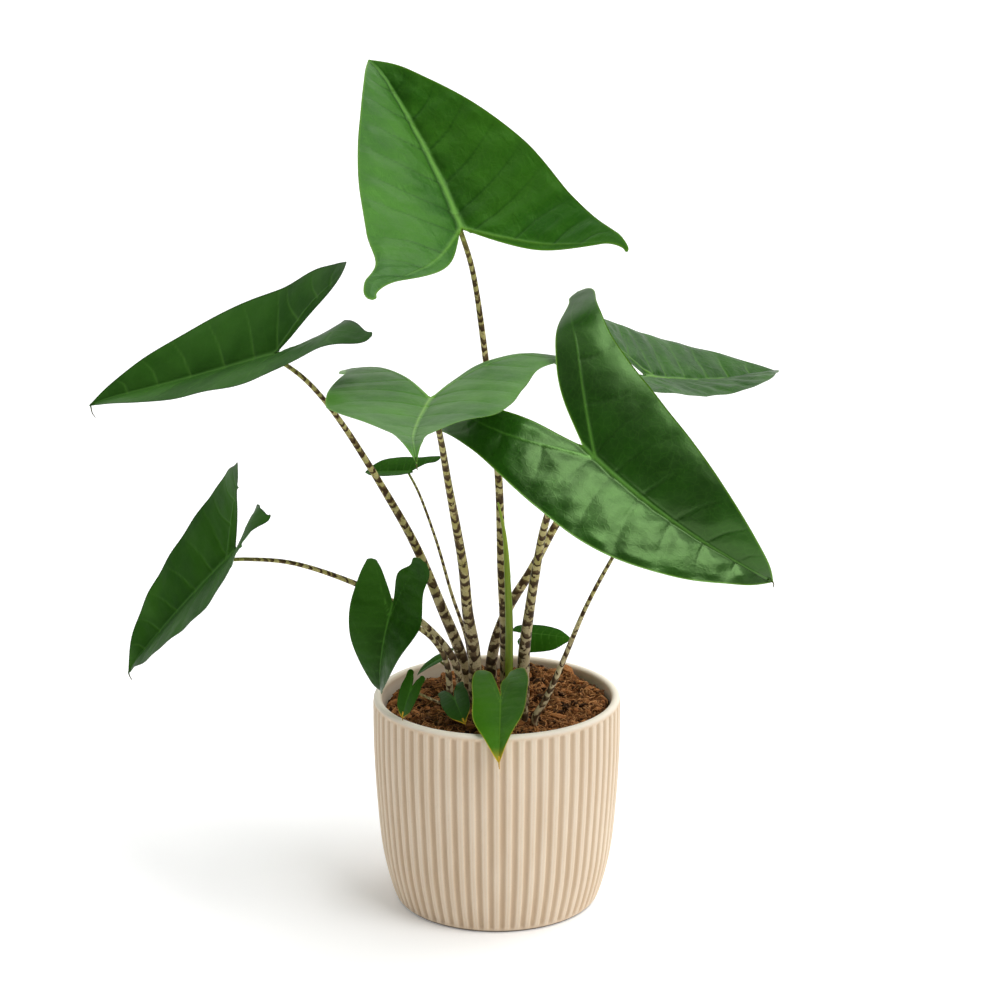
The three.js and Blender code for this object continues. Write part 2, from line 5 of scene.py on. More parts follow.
import bpy
import numpy as np
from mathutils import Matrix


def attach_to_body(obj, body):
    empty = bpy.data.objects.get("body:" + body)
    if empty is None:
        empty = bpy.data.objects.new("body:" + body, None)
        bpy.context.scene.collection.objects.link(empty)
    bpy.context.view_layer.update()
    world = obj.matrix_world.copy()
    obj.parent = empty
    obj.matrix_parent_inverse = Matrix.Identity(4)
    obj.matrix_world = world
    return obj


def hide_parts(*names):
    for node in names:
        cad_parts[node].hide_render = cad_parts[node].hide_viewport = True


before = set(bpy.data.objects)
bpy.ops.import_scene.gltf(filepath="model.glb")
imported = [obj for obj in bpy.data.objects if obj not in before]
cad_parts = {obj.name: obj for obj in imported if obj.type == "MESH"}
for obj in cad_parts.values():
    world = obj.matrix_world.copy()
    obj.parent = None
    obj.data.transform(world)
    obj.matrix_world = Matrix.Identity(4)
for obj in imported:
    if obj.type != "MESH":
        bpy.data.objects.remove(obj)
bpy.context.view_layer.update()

MM = 0.001

# ---- camera: the photograph's viewing angle ----
CAMERA_PLACE = (0.0026, -2.0, 0.884)
CAMERA_PITCH_DOWN = 15.39
CAMERA_LENS = 94.6
CAMERA_SENSOR = 36
CAMERA_FAR = 100

# ---- leaves: the same named sizes as the solids ----
LARGE_LEAVES = [
    dict(name="leaf_top", look="light", at=(-25, 5, 543), turn=(115, -44, -7), length=177, notch=-7,
         left=(44, 74, 89, 92), right=(45, 72, 87, 100), reach=(96, 87), spread=(105, 112),
         inner=(33, 48), blunt=(5, 2), arch=-8, droop=20, fold=(27, 21), camber=(12, -10),
         lobe=(-42, -23), curl=(29, 38), twist=-5, sweep=26, root=(7, 1), radius=(4.3, 2.0),
         stem=((6, 1, 234), (4, 2, 272), (3, 3, 312), (1, 5, 357), (-9, 8, 449), (-19, 8, 517))),
    dict(name="leaf_left_high", look="cool", at=(-173, 20, 448), turn=(153, 20, -30), length=181,
         notch=-2, left=(37, 52, 61, 58), right=(30, 49, 57, 60), reach=(129, 97), spread=(58, 42),
         inner=(-4, 24), blunt=(8, 1), arch=-9, droop=9, fold=(30, 36), camber=(29, 26), lobe=(-20, -29),
         curl=(29, -14), twist=-4, sweep=11, root=(-22, 5), radius=(5.2, 1.7),
         stem=((-28, 5, 201), (-45, 6, 245), (-64, 8, 292), (-85, 11, 331), (-126, 14, 398),
               (-151, 15, 428))),
    dict(name="leaf_middle", look="satin", at=(-49, -92, 438), turn=(-100, 6, 2), length=185, notch=1,
         left=(15, 61, 71, 75), right=(19, 66, 78, 80), reach=(122, 102), spread=(81, 99),
         inner=(20, 42), blunt=(18, 4), arch=-18, droop=43, fold=(19, 16), camber=(28, 22), lobe=(3, 16),
         curl=(43, 31), twist=-1, sweep=28, root=(-17, -9), radius=(5.6, 2.2),
         stem=((-18, -11, 210), (-23, -16, 245), (-26, -26, 284), (-31, -39, 321), (-37, -56, 362),
               (-43, -78, 407))),
    dict(name="leaf_right_big", look="glossy", at=(73, -90, 392), turn=(-32, 35, 47), length=166,
         notch=12, left=(33, 55, 67, 76), right=(37, 57, 63, 68), reach=(124, 119), spread=(77, 69),
         inner=(23, 24), blunt=(12, 11), arch=26, droop=29, fold=(21, 24), camber=(29, 24),
         lobe=(11, 21), curl=(37, 33), twist=4, sweep=35, root=(21, -6), radius=(5.3, 2.1),
         stem=((22, -7, 209), (26, -12, 246), (30, -18, 275), (39, -36, 329), (53, -56, 366))),
    dict(name="leaf_right_rear", look="sheen", at=(129, 100, 411), turn=(51, 15, 26), length=158,
         notch=12, left=(42, 53, 55, 59), right=(43, 55, 54, 58), reach=(105, 106), spread=(35, 39),
         inner=(22, 14), blunt=(7, 7), arch=-22, droop=9, fold=(24, 24), camber=(16, 16), lobe=(-27, 3),
         curl=(-21, 2), twist=-25, sweep=-9, root=(-5, 6), radius=(5.1, 2.0),
         stem=((-3, 9, 205), (8, 20, 235), (28, 35, 265), (48, 56, 297), (85, 82, 348), (112, 92, 385))),
    dict(name="leaf_left_low", look="dark", at=(-212, -20, 291), turn=(140, 42, -51), length=181,
         notch=13, left=(33, 50, 62, 50), right=(28, 43, 56, 55), reach=(118, 89), spread=(51, 31),
         inner=(-6, 24), blunt=(4, 1), arch=5, droop=6, fold=(29, 35), camber=(29, 32), lobe=(-27, -42),
         curl=(40, 21), twist=-8, sweep=1, root=(-28, -16), radius=(3.4, 1.5),
         stem=((-33, -16, 203), (-52, -16, 230), (-84, -18, 256), (-122, -20, 275), (-163, -20, 288),
               (-196, -21, 291))),
    dict(name="leaf_front_dark", look="small", at=(-83, -58, 257), turn=(-159, 74, -44), length=79,
         notch=10, left=(15, 24, 33, 29), right=(15, 27, 32, 30), reach=(57, 48), spread=(22, 20),
         inner=(-1, 9), blunt=(10, 5), arch=46, droop=22, fold=(28, 30), camber=(21, 18),
         lobe=(-10, -22), curl=(-7, -14), twist=32, sweep=-3, root=(-37, -28), radius=(2.8, 1.6),
         stem=((-40, -29, 209), (-50, -32, 228), (-63, -38, 241), (-74, -46, 250))),
    dict(name="leaf_front_bright", look="fresh", at=(3, -72, 191), turn=(-91, 26, 7), length=61, notch=7,
         left=(10, 20, 22, 23), right=(11, 21, 22, 23), reach=(36, 35), spread=(13, 14), inner=(0, 4),
         blunt=(8, 8), arch=9, droop=12, fold=(23, 23), camber=(19, 17), lobe=(17, 12), curl=(11, 7),
         twist=17, sweep=-1, root=(22, -45), radius=(2.9, 1.3), stem=((20, -49, 181), (13, -56, 187))),
    dict(name="leaf_back_right", look="dark", at=(27, 60, 203), turn=(-17, -3, 32), length=36, notch=3,
         left=(8, 11, 12, 12), right=(12, 16, 17, 14), reach=(17, 9), spread=(7, 8), inner=(1, 1),
         blunt=(5, 4), arch=13, droop=4, fold=(0, 0), camber=(28, 28), lobe=(20, 4), curl=(4, 5),
         twist=3, sweep=-1, root=(20, 54), radius=(1.5, 1.1), stem=((22, 56, 190),)),
    dict(name="leaf_back_high", look="dark", at=(-72, 80, 336), turn=(149, 8, -21), length=47, notch=2,
         left=(12, 15, 14, 11), right=(13, 17, 17, 17), reach=(8, 27), spread=(7, 11), inner=(1, 7),
         blunt=(3, 4), arch=5, droop=12, fold=(27, 21), camber=(16, 26), lobe=(0, -12), curl=(2, 3),
         twist=-5, sweep=-3, root=(-22, 26), radius=(1.8, 1),
         stem=((-24, 29, 205), (-37, 38, 245), (-49, 52, 284), (-64, 70, 321))),
]
SMALL_OUTLINE = dict(notch=0.1, widths=(0.27, 0.35, 0.38, 0.35), reach=0.58, spread=0.25, inner=0.06,
                     blunt=0.12)
SMALL_BEND = dict(arch=16, droop=10, fold=(16, 16), camber=(20, 20), lobe=(8, 8), curl=(5, 5), twist=0,
                  sweep=0)
SMALL_LEAVES = [
    dict(name="leaf_front_yellow", look="small", at=(-33, -50, 185), turn=(-77, 13, 27), length=31,
         root=(-27, -41), radius=(1.2, 0.9), stem=((-28, -43, 177),)),
    dict(name="leaf_front_narrow", look="small", at=(-67, -62, 197), turn=(-163, 67, -34), length=25,
         root=(-38, -37), radius=(1.3, 0.9), stem=((-41, -38, 175), (-53, -46, 184))),
    dict(name="leaf_back_left", look="dark", at=(-47, 38, 188), turn=(173, 30, -8), length=24,
         root=(-38, 37), radius=(1.2, 0.9), stem=((-40, 38, 180),)),
    dict(name="leaf_right_hidden", look="dark", at=(106, -36, 322), turn=(50, -4, 30), length=42,
         root=(30, -53), radius=(2.6, 1.3),
         stem=((38, -50, 184), (50, -46, 210), (70, -40, 258), (90, -38, 297), (97, -37, 309))),
]
# how each leaf's surface differs from a plain one. quilt: depth between the veins, on the left and right
# half. lean: how far the side veins run towards the tip, and lobe_vein: how far the lobes' main veins keep
# from the notch, as shares of the blade. rib: width of the midrib. shaded: the half with a painted shadow in
# the fold beside the midrib. dim: how dark the painted shade on the right half beside the midrib grows.
# tip_from: where the yellow of the tip starts.
PLAIN_STYLE = dict(quilt=(0.3, 0.3), lean=0.08, lobe_vein=0.18, rib=0.7, shaded=-1, dim=0.2, tip_from=2.0)
STYLES = {
    "leaf_top": dict(quilt=(0.75, 0.75), lean=0.20, lobe_vein=0.30, rib=1.0, shaded=0, dim=1.0),
    "leaf_left_high": dict(lean=0.03, lobe_vein=0.26),
    "leaf_middle": dict(quilt=(0.35, 0.35), rib=0.6),
    "leaf_right_big": dict(quilt=(0.25, 0.75), lean=0.04, lobe_vein=0.36, rib=0.78, shaded=1),
    "leaf_right_rear": dict(quilt=(1.0, 1.0)),
    "leaf_front_dark": dict(quilt=(0.7, 0.7), dim=1.0),
    "leaf_front_bright": dict(tip_from=0.74),
    "leaf_front_yellow": dict(tip_from=0.80),
    "leaf_front_narrow": dict(tip_from=0.88),
}

BLADE_THICKNESS = 0.8
EDGE_THICKNESS = 0.25
CAMBER_WIDTH_SHARE = 0.4
LOBE_LENGTH_SHARE = 0.6
LOBE_BLEND_SHARE = 0.1
DROOP_START = 0.8
CURL_START = 0.7
ATTACH_MARGIN = 3
LARGE_LENGTH = 100
# places along the blade, as shares of its length, of its half widths and of its midline
WIDTH_PLACES = (0.66, 0.33, 0)
NARROW_PLACE = 0.88
NARROW_SHARE = 0.4
ROW_PLACES = (1, 0.86, 0.62, 0.26)
# the middle of a lobe's rounded end, as shares of its radius along and across
LOBE_MIDWAY = (0.29, 0.71)
# steps between neighbouring points of the outline and columns from midrib to margin
LARGE_GRID = (36, 54)
SMALL_GRID = (16, 24)
BEND_SAMPLES = 24
MARGIN_STEPS = 12
# side veins of each half: where they leave the midrib and reach the margin, as shares of the length
SIDE_VEINS = ((0.0, -0.03), (0.12, 0.17), (0.28, 0.36), (0.46, 0.55), (0.63, 0.71), (0.79, 0.85))
# veins of each lobe: where they leave its main vein and reach the margin, as shares of the two
LOBE_VEINS = ((0.30, 0.10), (0.55, 0.45), (0.78, 0.80))
VEIN_STEPS = 24
LOBE_VEIN_SPAN = 46
RIPPLE_WAVES = 7
# each leaf takes its own part of the noise, in mm, and its underside another
LEAF_SHIFT = 17.0
UNDERSIDE_SHIFT = 5

STEM_ROOT_HEIGHT = 124
STEM_UPRIGHT_HEIGHT = 171
UPRIGHT_MARGIN = 8
STEM_TAPER = 1.3
STEM_SPACING = 1.6
STEM_TO_BLADE = 0.6
STEM_GREEN = 0.6
SHEATH_LENGTH = 90
# bands along the stems: spacing in mm for a stem of no radius, and what each mm of radius adds
BAND_SPACING = 5.6
BAND_SPACING_PER_RADIUS = 0.9
# near the blade the bands fade over about this length, mm
NECK_LENGTH = 12

# the dry points beyond the blades' tips, as steps from the tip in mm, and where they start inside the blade
TIP_INSIDE = (6.0, 2.0)
TIP_RADII = (0.85, 0.3)
TIP_SPACING = 0.6
TIP_SIDES = 8
TIP_STEPS = {
    "leaf_left_high": ((0.2, 0, -3), (1.0, 0, -7), (3.4, 0, -11)),
    "leaf_left_low": ((0.5, 0, -3), (2.5, 0, -7)),
    "leaf_right_big": ((1.5, 0, -2), (1, 0, -5)),
    "leaf_middle": ((0, 0.4, -2.5), (0.5, 0.8, -6)),
    "leaf_front_bright": ((0, -0.5, -3), (0.3, -0.5, -6)),
    "leaf_front_yellow": ((0.8, -0.5, -1.5), (1.2, -0.5, -3)),
    "leaf_front_narrow": ((0, -0.5, -1.5), (0.3, -0.5, -3.5)),
}

SPEAR_ROOT = (10, -9)
SPEAR_POINTS = ((10, -9, 197), (10, -9, 236), (9, -9, 263), (7, -9, 299), (5, -9, 315), (1, -9, 334))
SPEAR_RADII = (3.2, 3.4, 3.5, 3.2, 2.2, 0.7)
SPEAR_SPACING = 1.2
SPEAR_SIDES = 36

# ---- pot ----
FLUTE_COUNT = 64
FLUTE_DEPTH = 1.8
POT_OUTER_PROFILE = ((0, 80), (2.5, 82.5), (8, 84.8), (24, 89.4), (45, 93.5), (87, 97.3), (130, 99.4),
                     (161, 99.6), (165, 99.6), (169, 99.2))
POT_RIM_TOP = 172
POT_RIM_INNER_RADIUS = 92.3
# the rounded rim stands on the wall from this height and has this outer radius
RIM_FOOT = 168.5
RIM_OUTER_RADIUS = 99.3
# (height, radius) of the inner wall, down to below the soil
POT_INSIDE = ((165, 92.1), (158, 91.9), (150, 91.8))
FLUTE_FOOT = 1.5
FLUTE_HEAD = 169.2
FLUTE_SIDES = 12

# ---- soil ----
SOIL_EDGE_HEIGHT = 160
SOIL_MOUND_HEIGHT = 5
SOIL_MOUND_RADIUS = 92
SOIL_BACK_RIGHT_RISE = 6
SOIL_RISE_SPAN = 150
SOIL_RADIUS = 91
SOIL_SKIRT_HEIGHT = 140
SOIL_RINGS = 110
SOIL_SIDES = 360
CRUMB_COUNT = 1300
CRUMB_GRID = (5, 7)
FIBRE_COUNT = 2100
FIBRE_STEPS = 9
FIBRE_SIDES = 4


def smooth(x):
    t = np.clip(x, 0.0, 1.0)
    return t * t * (3 - 2 * t)


def lerp(a, b, t):
    return a + (b - a) * t


# ---------------------------------------------------------------- mesh helpers

def make_object(name, points, faces, attributes=None, material=None, smooth_faces=True):
    """points in mm, faces as arrays of indices with 3 or 4 columns"""
    mesh = bpy.data.meshes.new(name)
    faces = [f for f in faces if len(f)]
    loops = np.concatenate([f.reshape(-1) for f in faces]).astype(np.int32)
    totals = np.concatenate([np.full(len(f), f.shape[1]) for f in faces]).astype(np.int32)
    starts = np.concatenate([[0], np.cumsum(totals)[:-1]]).astype(np.int32)
    mesh.vertices.add(len(points))
    mesh.vertices.foreach_set("co", (np.asarray(points) * MM).astype(np.float32).reshape(-1))
    mesh.loops.add(len(loops))
    mesh.loops.foreach_set("vertex_index", loops)
    mesh.polygons.add(len(totals))
    mesh.polygons.foreach_set("loop_start", starts)
    mesh.polygons.foreach_set("loop_total", totals)
    mesh.polygons.foreach_set("use_smooth", np.full(len(totals), smooth_faces))
    mesh.update(calc_edges=True)
    for key, values in (attributes or {}).items():
        values = np.asarray(values, dtype=np.float32)
        kind = "FLOAT_VECTOR" if values.ndim == 2 else "FLOAT"
        layer = mesh.attributes.new(key, kind, "POINT")
        layer.data.foreach_set("vector" if values.ndim == 2 else "value", values.reshape(-1))
    mesh.validate()
    if material:
        mesh.materials.append(material)
    obj = bpy.data.objects.new(name, mesh)
    bpy.context.scene.collection.objects.link(obj)
    return obj


def place_piece(obj, slot, *nodes):
    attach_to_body(obj, "root")
    if nodes:
        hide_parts(*nodes)


def ring_index(rows, sides):
    """vertex indices of stacked rings, with the first column again at the end"""
    index = np.arange(rows * sides).reshape(rows, sides)
    return np.column_stack([index, index[:, :1]])


def fan(centre, first, second):
    return np.stack([np.full(len(first), centre), first, second], -1)


def grid_quads(index):
    """quads of a grid of vertex indices, and triangles where a row has run together"""
    a, b, c, d = index[:-1, :-1], index[:-1, 1:], index[1:, 1:], index[1:, :-1]
    quads = np.stack([a, b, c, d], -1).reshape(-1, 4)
    top = quads[:, 0] == quads[:, 1]
    bottom = quads[:, 2] == quads[:, 3]
    tris = np.concatenate([quads[top][:, [0, 2, 3]], quads[bottom][:, [0, 1, 2]]])
    return quads[~(top | bottom)], tris


def vertex_normals(points, quads, tris):
    normals = np.zeros_like(points)
    for faces in (quads, tris):
        if len(faces):
            p = points[faces]
            if faces.shape[1] == 4:
                n = np.cross(p[:, 2] - p[:, 0], p[:, -1] - p[:, 1])
            else:
                n = np.cross(p[:, 1] - p[:, 0], p[:, 2] - p[:, 0])
            for k in range(faces.shape[1]):
                np.add.at(normals, faces[:, k], n)
    return normals / np.maximum(np.linalg.norm(normals, axis=1, keepdims=True), 1e-12)


def rotation(turn):
    heading, dip, roll = np.radians(turn)
    (ch, sh), (cd, sd), (cr, sr) = ((math.cos(a), math.sin(a)) for a in (heading, dip, roll))
    about_z = np.array([[ch, -sh, 0], [sh, ch, 0], [0, 0, 1]])
    about_y = np.array([[cd, 0, sd], [0, 1, 0], [-sd, 0, cd]])
    about_x = np.array([[1, 0, 0], [0, cr, -sr], [0, sr, cr]])
    return about_z @ about_y @ about_x


# ---------------------------------------------------------------- blades

def curve_through(points, steps):
    """centripetal Catmull-Rom curve through points, with the given number of steps between neighbours"""
    p = np.asarray(points, float)
    p = np.vstack([2 * p[0] - p[1], p, 2 * p[-1] - p[-2]])
    t = (np.arange(steps) / steps)[:, None]
    parts = []
    for i in range(1, len(p) - 2):
        p0, p1, p2, p3 = p[i - 1], p[i], p[i + 1], p[i + 2]
        d0, d1, d2 = (math.sqrt(np.linalg.norm(b - a)) for a, b in ((p0, p1), (p1, p2), (p2, p3)))
        m1 = ((p1 - p0) / d0 - (p2 - p0) / (d0 + d1) + (p2 - p1) / d1) * d1
        m2 = ((p2 - p1) / d1 - (p3 - p1) / (d1 + d2) + (p3 - p2) / d2) * d1
        square, cube = -3 * p1 + 3 * p2 - 2 * m1 - m2, 2 * p1 - 2 * p2 + m1 + m2
        parts.append(p1 + m1 * t + square * t**2 + cube * t**3)
    return np.vstack(parts + [p[-2:-1]])


def bend_strip(distance, span, total, extra, start):
    """how far along and down a bent strip reaches, and its slope there; extra adds to the bend after start"""
    k = (np.arange(BEND_SAMPLES) + 0.5) / BEND_SAMPLES
    d = distance[..., None] * k
    slope = total[..., None] * d / span + extra * smooth((d / span - start) / (1 - start))
    end = total * distance / span + extra * smooth((distance / span - start) / (1 - start))
    return distance * np.cos(slope).mean(-1), distance * np.sin(slope).mean(-1), end


def bent_points(leaf, side, u, v):
    """places in the leaf's own frame of flat points, u along the midrib and v across it"""
    across = v if side == 0 else -v
    length = leaf["length"]
    fold = math.radians(leaf["fold"][side])
    curvature = (math.radians(leaf["camber"][side]) or 1e-6) / (CAMBER_WIDTH_SHARE * length)
    lift = (np.cos(fold - curvature * across) - math.cos(fold)) / curvature
    out = (math.sin(fold) - np.sin(fold - curvature * across)) / curvature
    arch = np.full(u.shape, math.radians(leaf["arch"]))
    ahead, ahead_down, ahead_angle = bend_strip(np.maximum(u, 0), length, arch, math.radians(leaf["droop"]),
                                                DROOP_START)
    own = smooth(across / (LOBE_BLEND_SHARE * length))
    lobe = np.radians(lerp(0.5 * (leaf["lobe"][0] + leaf["lobe"][1]), leaf["lobe"][side], own))
    back, back_down, back_angle = bend_strip(np.maximum(-u, 0), LOBE_LENGTH_SHARE * length, lobe,
                                             math.radians(leaf["curl"][side]), CURL_START)
    forward = u >= 0
    along = np.where(forward, ahead, -back)
    down = np.where(forward, ahead_down, back_down)
    angle = np.where(forward, -ahead_angle, back_angle)
    twist = math.radians(leaf["twist"]) * np.maximum(u, 0) / length
    sign = 1 if side == 0 else -1
    lateral = sign * out * np.cos(twist) - lift * np.sin(twist)
    normal = sign * out * np.sin(twist) + lift * np.cos(twist)
    shift = leaf["sweep"] * (u / length) ** 2
    return np.stack([along - np.sin(angle) * normal, lateral + shift, np.cos(angle) * normal - down], -1)


def half_outline(leaf, side, steps):
    """margin and midline of one half, from the tip to the lobe's end, and the row where the midline ends"""
    sign = 1 if side == 0 else -1
    w = leaf["left"] if side == 0 else leaf["right"]
    length, notch = leaf["length"], leaf["notch"]
    reach, spread, blunt = leaf["reach"][side], leaf["spread"][side], leaf["blunt"][side]
    along_share, across_share = LOBE_MIDWAY

    def lobe_end(away):
        return [(blunt - reach, spread + away * blunt),
                (along_share * blunt - reach, spread + across_share * away * blunt), (-reach, spread)]

    edge = [(length, 0), (NARROW_PLACE * length, NARROW_SHARE * w[0])]
    edge += [(place * length, width) for place, width in zip(WIDTH_PLACES, w)]
    edge += [(-0.5 * reach, w[3])] + lobe_end(1)
    inside = [(-notch, 0), (-(reach + notch) / 2, leaf["inner"][side])] + lobe_end(-1)
    midline = [place * length for place in ROW_PLACES] + [-notch]
    flip = np.array([1, sign])
    edge = curve_through(np.array(edge, float) * flip, steps)
    inside = curve_through(np.array(inside, float) * flip, steps)
    along = np.concatenate([lerp(a, b, np.arange(steps) / steps) for a, b in zip(midline[:-1], midline[1:])])
    spine = np.vstack([np.stack([along, np.zeros_like(along)], -1), inside])
    return edge, spine, len(along)


def distance_to_path(points, path):
    """distance from each flat point to a polyline, and the share of the path there"""
    best = np.full(len(points), 1e9)
    share = np.zeros(len(points))
    steps = len(path) - 1
    for k in range(steps):
        a, b = path[k], path[k + 1]
        ab = b - a
        t = np.clip(((points - a) @ ab) / max(ab @ ab, 1e-9), 0, 1)
        d = np.linalg.norm(points - a - t[:, None] * ab, axis=1)
        closer = d < best
        best[closer] = d[closer]
        share[closer] = (k + t[closer]) / steps
    return best, share


def vein_paths(leaf, side):
    """the lobe's main vein and the side veins of one half, in flat coordinates, with True for a main one"""
    sign = 1 if side == 0 else -1
    edge, _, _ = half_outline(leaf, side, VEIN_STEPS)
    above_lobe = edge[:5 * VEIN_STEPS + 1, 0]
    length = leaf["length"]
    reach, spread = leaf["reach"][side], leaf["spread"][side]
    clear = max(leaf["inner"][side], 0.2 * spread)
    lobe_tip = np.array([-0.9 * reach, sign * 0.93 * spread])
    lobe_mid = np.array([-0.45 * reach, sign * (0.62 * clear + leaf["lobe_vein"] * leaf["left"][2])])
    lobe = curve_through([(max(0, -leaf["notch"]) + 1, sign * 0.5), lobe_mid, lobe_tip], 10)
    paths = [(lobe, True)]
    for start, end in SIDE_VEINS:
        k = np.argmin(np.abs(above_lobe - (end + leaf["lean"] * (1 - end)) * length))
        begin = np.array([start * length, 0.0])
        goal = lerp(begin, edge[k], 0.96)
        bow = lerp(begin, goal, 0.5) + np.array([-0.012 * length, sign * 0.008 * length])
        paths.append((curve_through([begin, bow, goal], 8), False))
    for start, end in LOBE_VEINS:
        begin = lobe[int(start * (len(lobe) - 1))]
        k = 4 * VEIN_STEPS + int(end * LOBE_VEIN_SPAN)
        goal = lerp(begin, edge[min(k, len(edge) - 1)], 0.93)
        bow = lerp(begin, goal, 0.5) + (0.02 * length, 0)
        paths.append((curve_through([begin, bow, goal], 6), False))
    return paths


def ripple(points, scale, seed):
    """soft seeded unevenness in flat coordinates, about -1 to 1"""
    rng = np.random.default_rng(seed)
    total = np.zeros(len(points))
    for _ in range(RIPPLE_WAVES):
        angle = rng.uniform(0, 2 * math.pi)
        wave = rng.uniform(0.6, 1.6) / scale
        phase = rng.uniform(0, 2 * math.pi)
        total += np.sin(2 * math.pi * wave * (points @ np.array([math.cos(angle), math.sin(angle)])) + phase)
    return total / (RIPPLE_WAVES / 2)


def blade_grid(leaf, steps, columns):
    """flat and bent points of the blade's middle surface, the half of each, and each half's index grid"""
    flat, base, index = [], [], []
    count = 0
    for side in (0, 1):
        edge, spine, inside_start = half_outline(leaf, side, steps)
        t = np.linspace(0, 1, columns + 1)[None, :, None]
        uv = lerp(spine[:, None, :], edge[:, None, :], t)
        grid = count + np.arange(uv.shape[0] * uv.shape[1]).reshape(uv.shape[:2])
        flat.append(uv.reshape(-1, 2))
        base.append(bent_points(leaf, side, uv[..., 0], uv[..., 1]).reshape(-1, 3))
        count += grid.size
        grid[0, :] = grid[0, 0]
        grid[-1, :] = grid[-1, 0]
        index.append(grid)
    # both halves share the midrib's points
    index[1][: inside_start + 1, 0] = index[0][: inside_start + 1, 0]
    index[1][0, :] = index[0][0, 0]
    return np.vstack(flat), np.vstack(base), np.repeat([0, 1], count // 2), index, inside_start


def vein_fields(leaf, flat, half, slim):
    """distance to the margin, strength of the main and side veins, and distance to the nearest of them"""
    margin, spacing = np.full(len(flat), 1e9), np.full(len(flat), 1e9)
    ribs, veins = np.zeros(len(flat)), np.zeros(len(flat))
    for side in (0, 1):
        mine = half == side
        edge, spine, inside_start = half_outline(leaf, side, MARGIN_STEPS)
        to_edge, _ = distance_to_path(flat[mine], edge)
        to_inner, _ = distance_to_path(flat[mine], spine[inside_start:])
        margin[mine] = np.minimum(to_edge, to_inner)
        for path, main in vein_paths(leaf, side):
            d, share = distance_to_path(flat[mine], path)
            target = ribs if main else veins
            width = slim * (leaf["rib"] * lerp(1.5, 0.6, share) if main else lerp(1.05, 0.6, share))
            fade = 1 - share if main else 1 - 0.7 * share
            target[mine] = np.maximum(target[mine], np.exp(-(d / width) ** 2) * fade)
            spacing[mine] = np.minimum(spacing[mine], d)
    return margin, ribs, veins, spacing


def build_blade(leaf, seed):
    large = leaf["length"] > LARGE_LENGTH
    flat, base, half, index, inside_start = blade_grid(leaf, *(LARGE_GRID if large else SMALL_GRID))
    count = len(flat)
    quilt = np.where(half == 0, leaf["quilt"][0], leaf["quilt"][1])
    halves = [grid_quads(index[0][:, ::-1]), grid_quads(index[1])]
    quads, tris = (np.vstack(faces) for faces in zip(*halves))
    normals = vertex_normals(base, quads, tris)
    if normals[:, 2].mean() < 0:
        quads, tris, normals = quads[:, ::-1], tris[:, ::-1], -normals
    size = leaf["length"] / 180
    slim = max(size, 0.35)
    margin, ribs, veins, spacing = vein_fields(leaf, flat, half, slim)
    d_mid = np.abs(flat[:, 1]) + 1e-6
    along = np.clip(flat[:, 0] / leaf["length"], 0, 1)
    rib_width = leaf["rib"] * lerp(2.1, 0.6, along) * slim
    behind = smooth((-flat[:, 0] - max(leaf["notch"], 0) - 1) / 4)
    midrib = np.exp(-(d_mid / rib_width) ** 2) * (1 - behind)
    beside = np.exp(-((d_mid - 2.2 * rib_width) / rib_width) ** 2) * (1 - behind)
    ribs = np.maximum(ribs, midrib * lerp(1.0, 0.25, along ** 1.5))
    spacing = np.minimum(spacing, d_mid)
    inland = smooth(margin / (9 * size))
    puff = smooth(spacing / (13 * size)) * inland
    relief = size * (1 if large else 0.6) * (
        0.95 * ribs
        - 0.40 * beside * lerp(1.0, 0.3, along)
        - 0.60 * veins
        + quilt * 1.5 * (puff - 0.5)
        + quilt * 0.55 * ripple(flat, 26 * size, seed) * inland
        + 0.8 * ripple(flat * [1, 0.3], 60 * size, seed + 1) * (1 - smooth(margin / (18 * size)))
    )
    thickness = lerp(EDGE_THICKNESS, BLADE_THICKNESS, smooth(margin / 3))
    under = size * (2.0 * ribs + 0.9 * veins)
    top = base + normals * relief[:, None]
    bottom = base + normals * (relief - thickness - under)[:, None]
    points = np.vstack([top, bottom]) @ rotation(leaf["turn"]).T + np.array(leaf["at"], float)
    faces = [quads, tris, quads[:, ::-1] + count, tris[:, ::-1] + count]
    for side in (0, 1):
        for k, rim in enumerate((index[side][:, -1], index[side][inside_start:, 0])):
            a, b = rim[:-1], rim[1:]
            wall = np.stack([a, b, b + count, a + count], -1)
            faces.append(wall if (side + k) % 2 == 0 else wall[:, ::-1])
    rim = 1 - smooth(margin / max(1.8 * size, 0.9))
    # painted shade near the midrib, which the right half gets through the near layer, scaled by dim
    near = np.exp(-d_mid / (0.18 * leaf["length"])) * smooth(flat[:, 0] / 20)
    layers = {
        "veins": veins,
        "ribs": ribs,
        # painted shadow beside the midrib, on the shaded half only
        "beside": beside * (half == leaf["shaded"]),
        "lively": 0.15 + 0.85 * quilt,
        # painted shade on the right half near the midrib
        "near": leaf["dim"] * near * half,
        "course": (flat[:, 0] - 1.6 * leaf["lean"] * d_mid) * MM,
        "rim": rim,
        "tip": smooth((flat[:, 0] / leaf["length"] - leaf["tip_from"] + 0.3 * rim) / 0.35),
    }
    attributes = {key: np.concatenate([values, values]) for key, values in layers.items()}
    attributes["under"] = np.repeat([0, 1], count)
    attributes["flat"] = np.vstack([np.column_stack([flat, np.full(count, seed * LEAF_SHIFT + shift)])
                                    for shift in (0, UNDERSIDE_SHIFT)]) * MM
    obj = make_object(leaf["name"] + "_blade_fine", points, faces, attributes, BLADE_MATERIALS[leaf["look"]])
    place_piece(obj, blade_slot(leaf["look"]), leaf["name"] + "_blade")


# ---------------------------------------------------------------- rods

def even_path(points, spacing):
    """evenly spaced places on the curve through points, and how far along it each is"""
    fine = curve_through(points, 40)
    run = np.concatenate([[0], np.cumsum(np.linalg.norm(np.diff(fine, axis=0), axis=1))])
    s = np.linspace(0, run[-1], max(int(run[-1] / spacing), 8))
    return np.stack([np.interp(s, run, fine[:, k]) for k in range(3)], -1), s


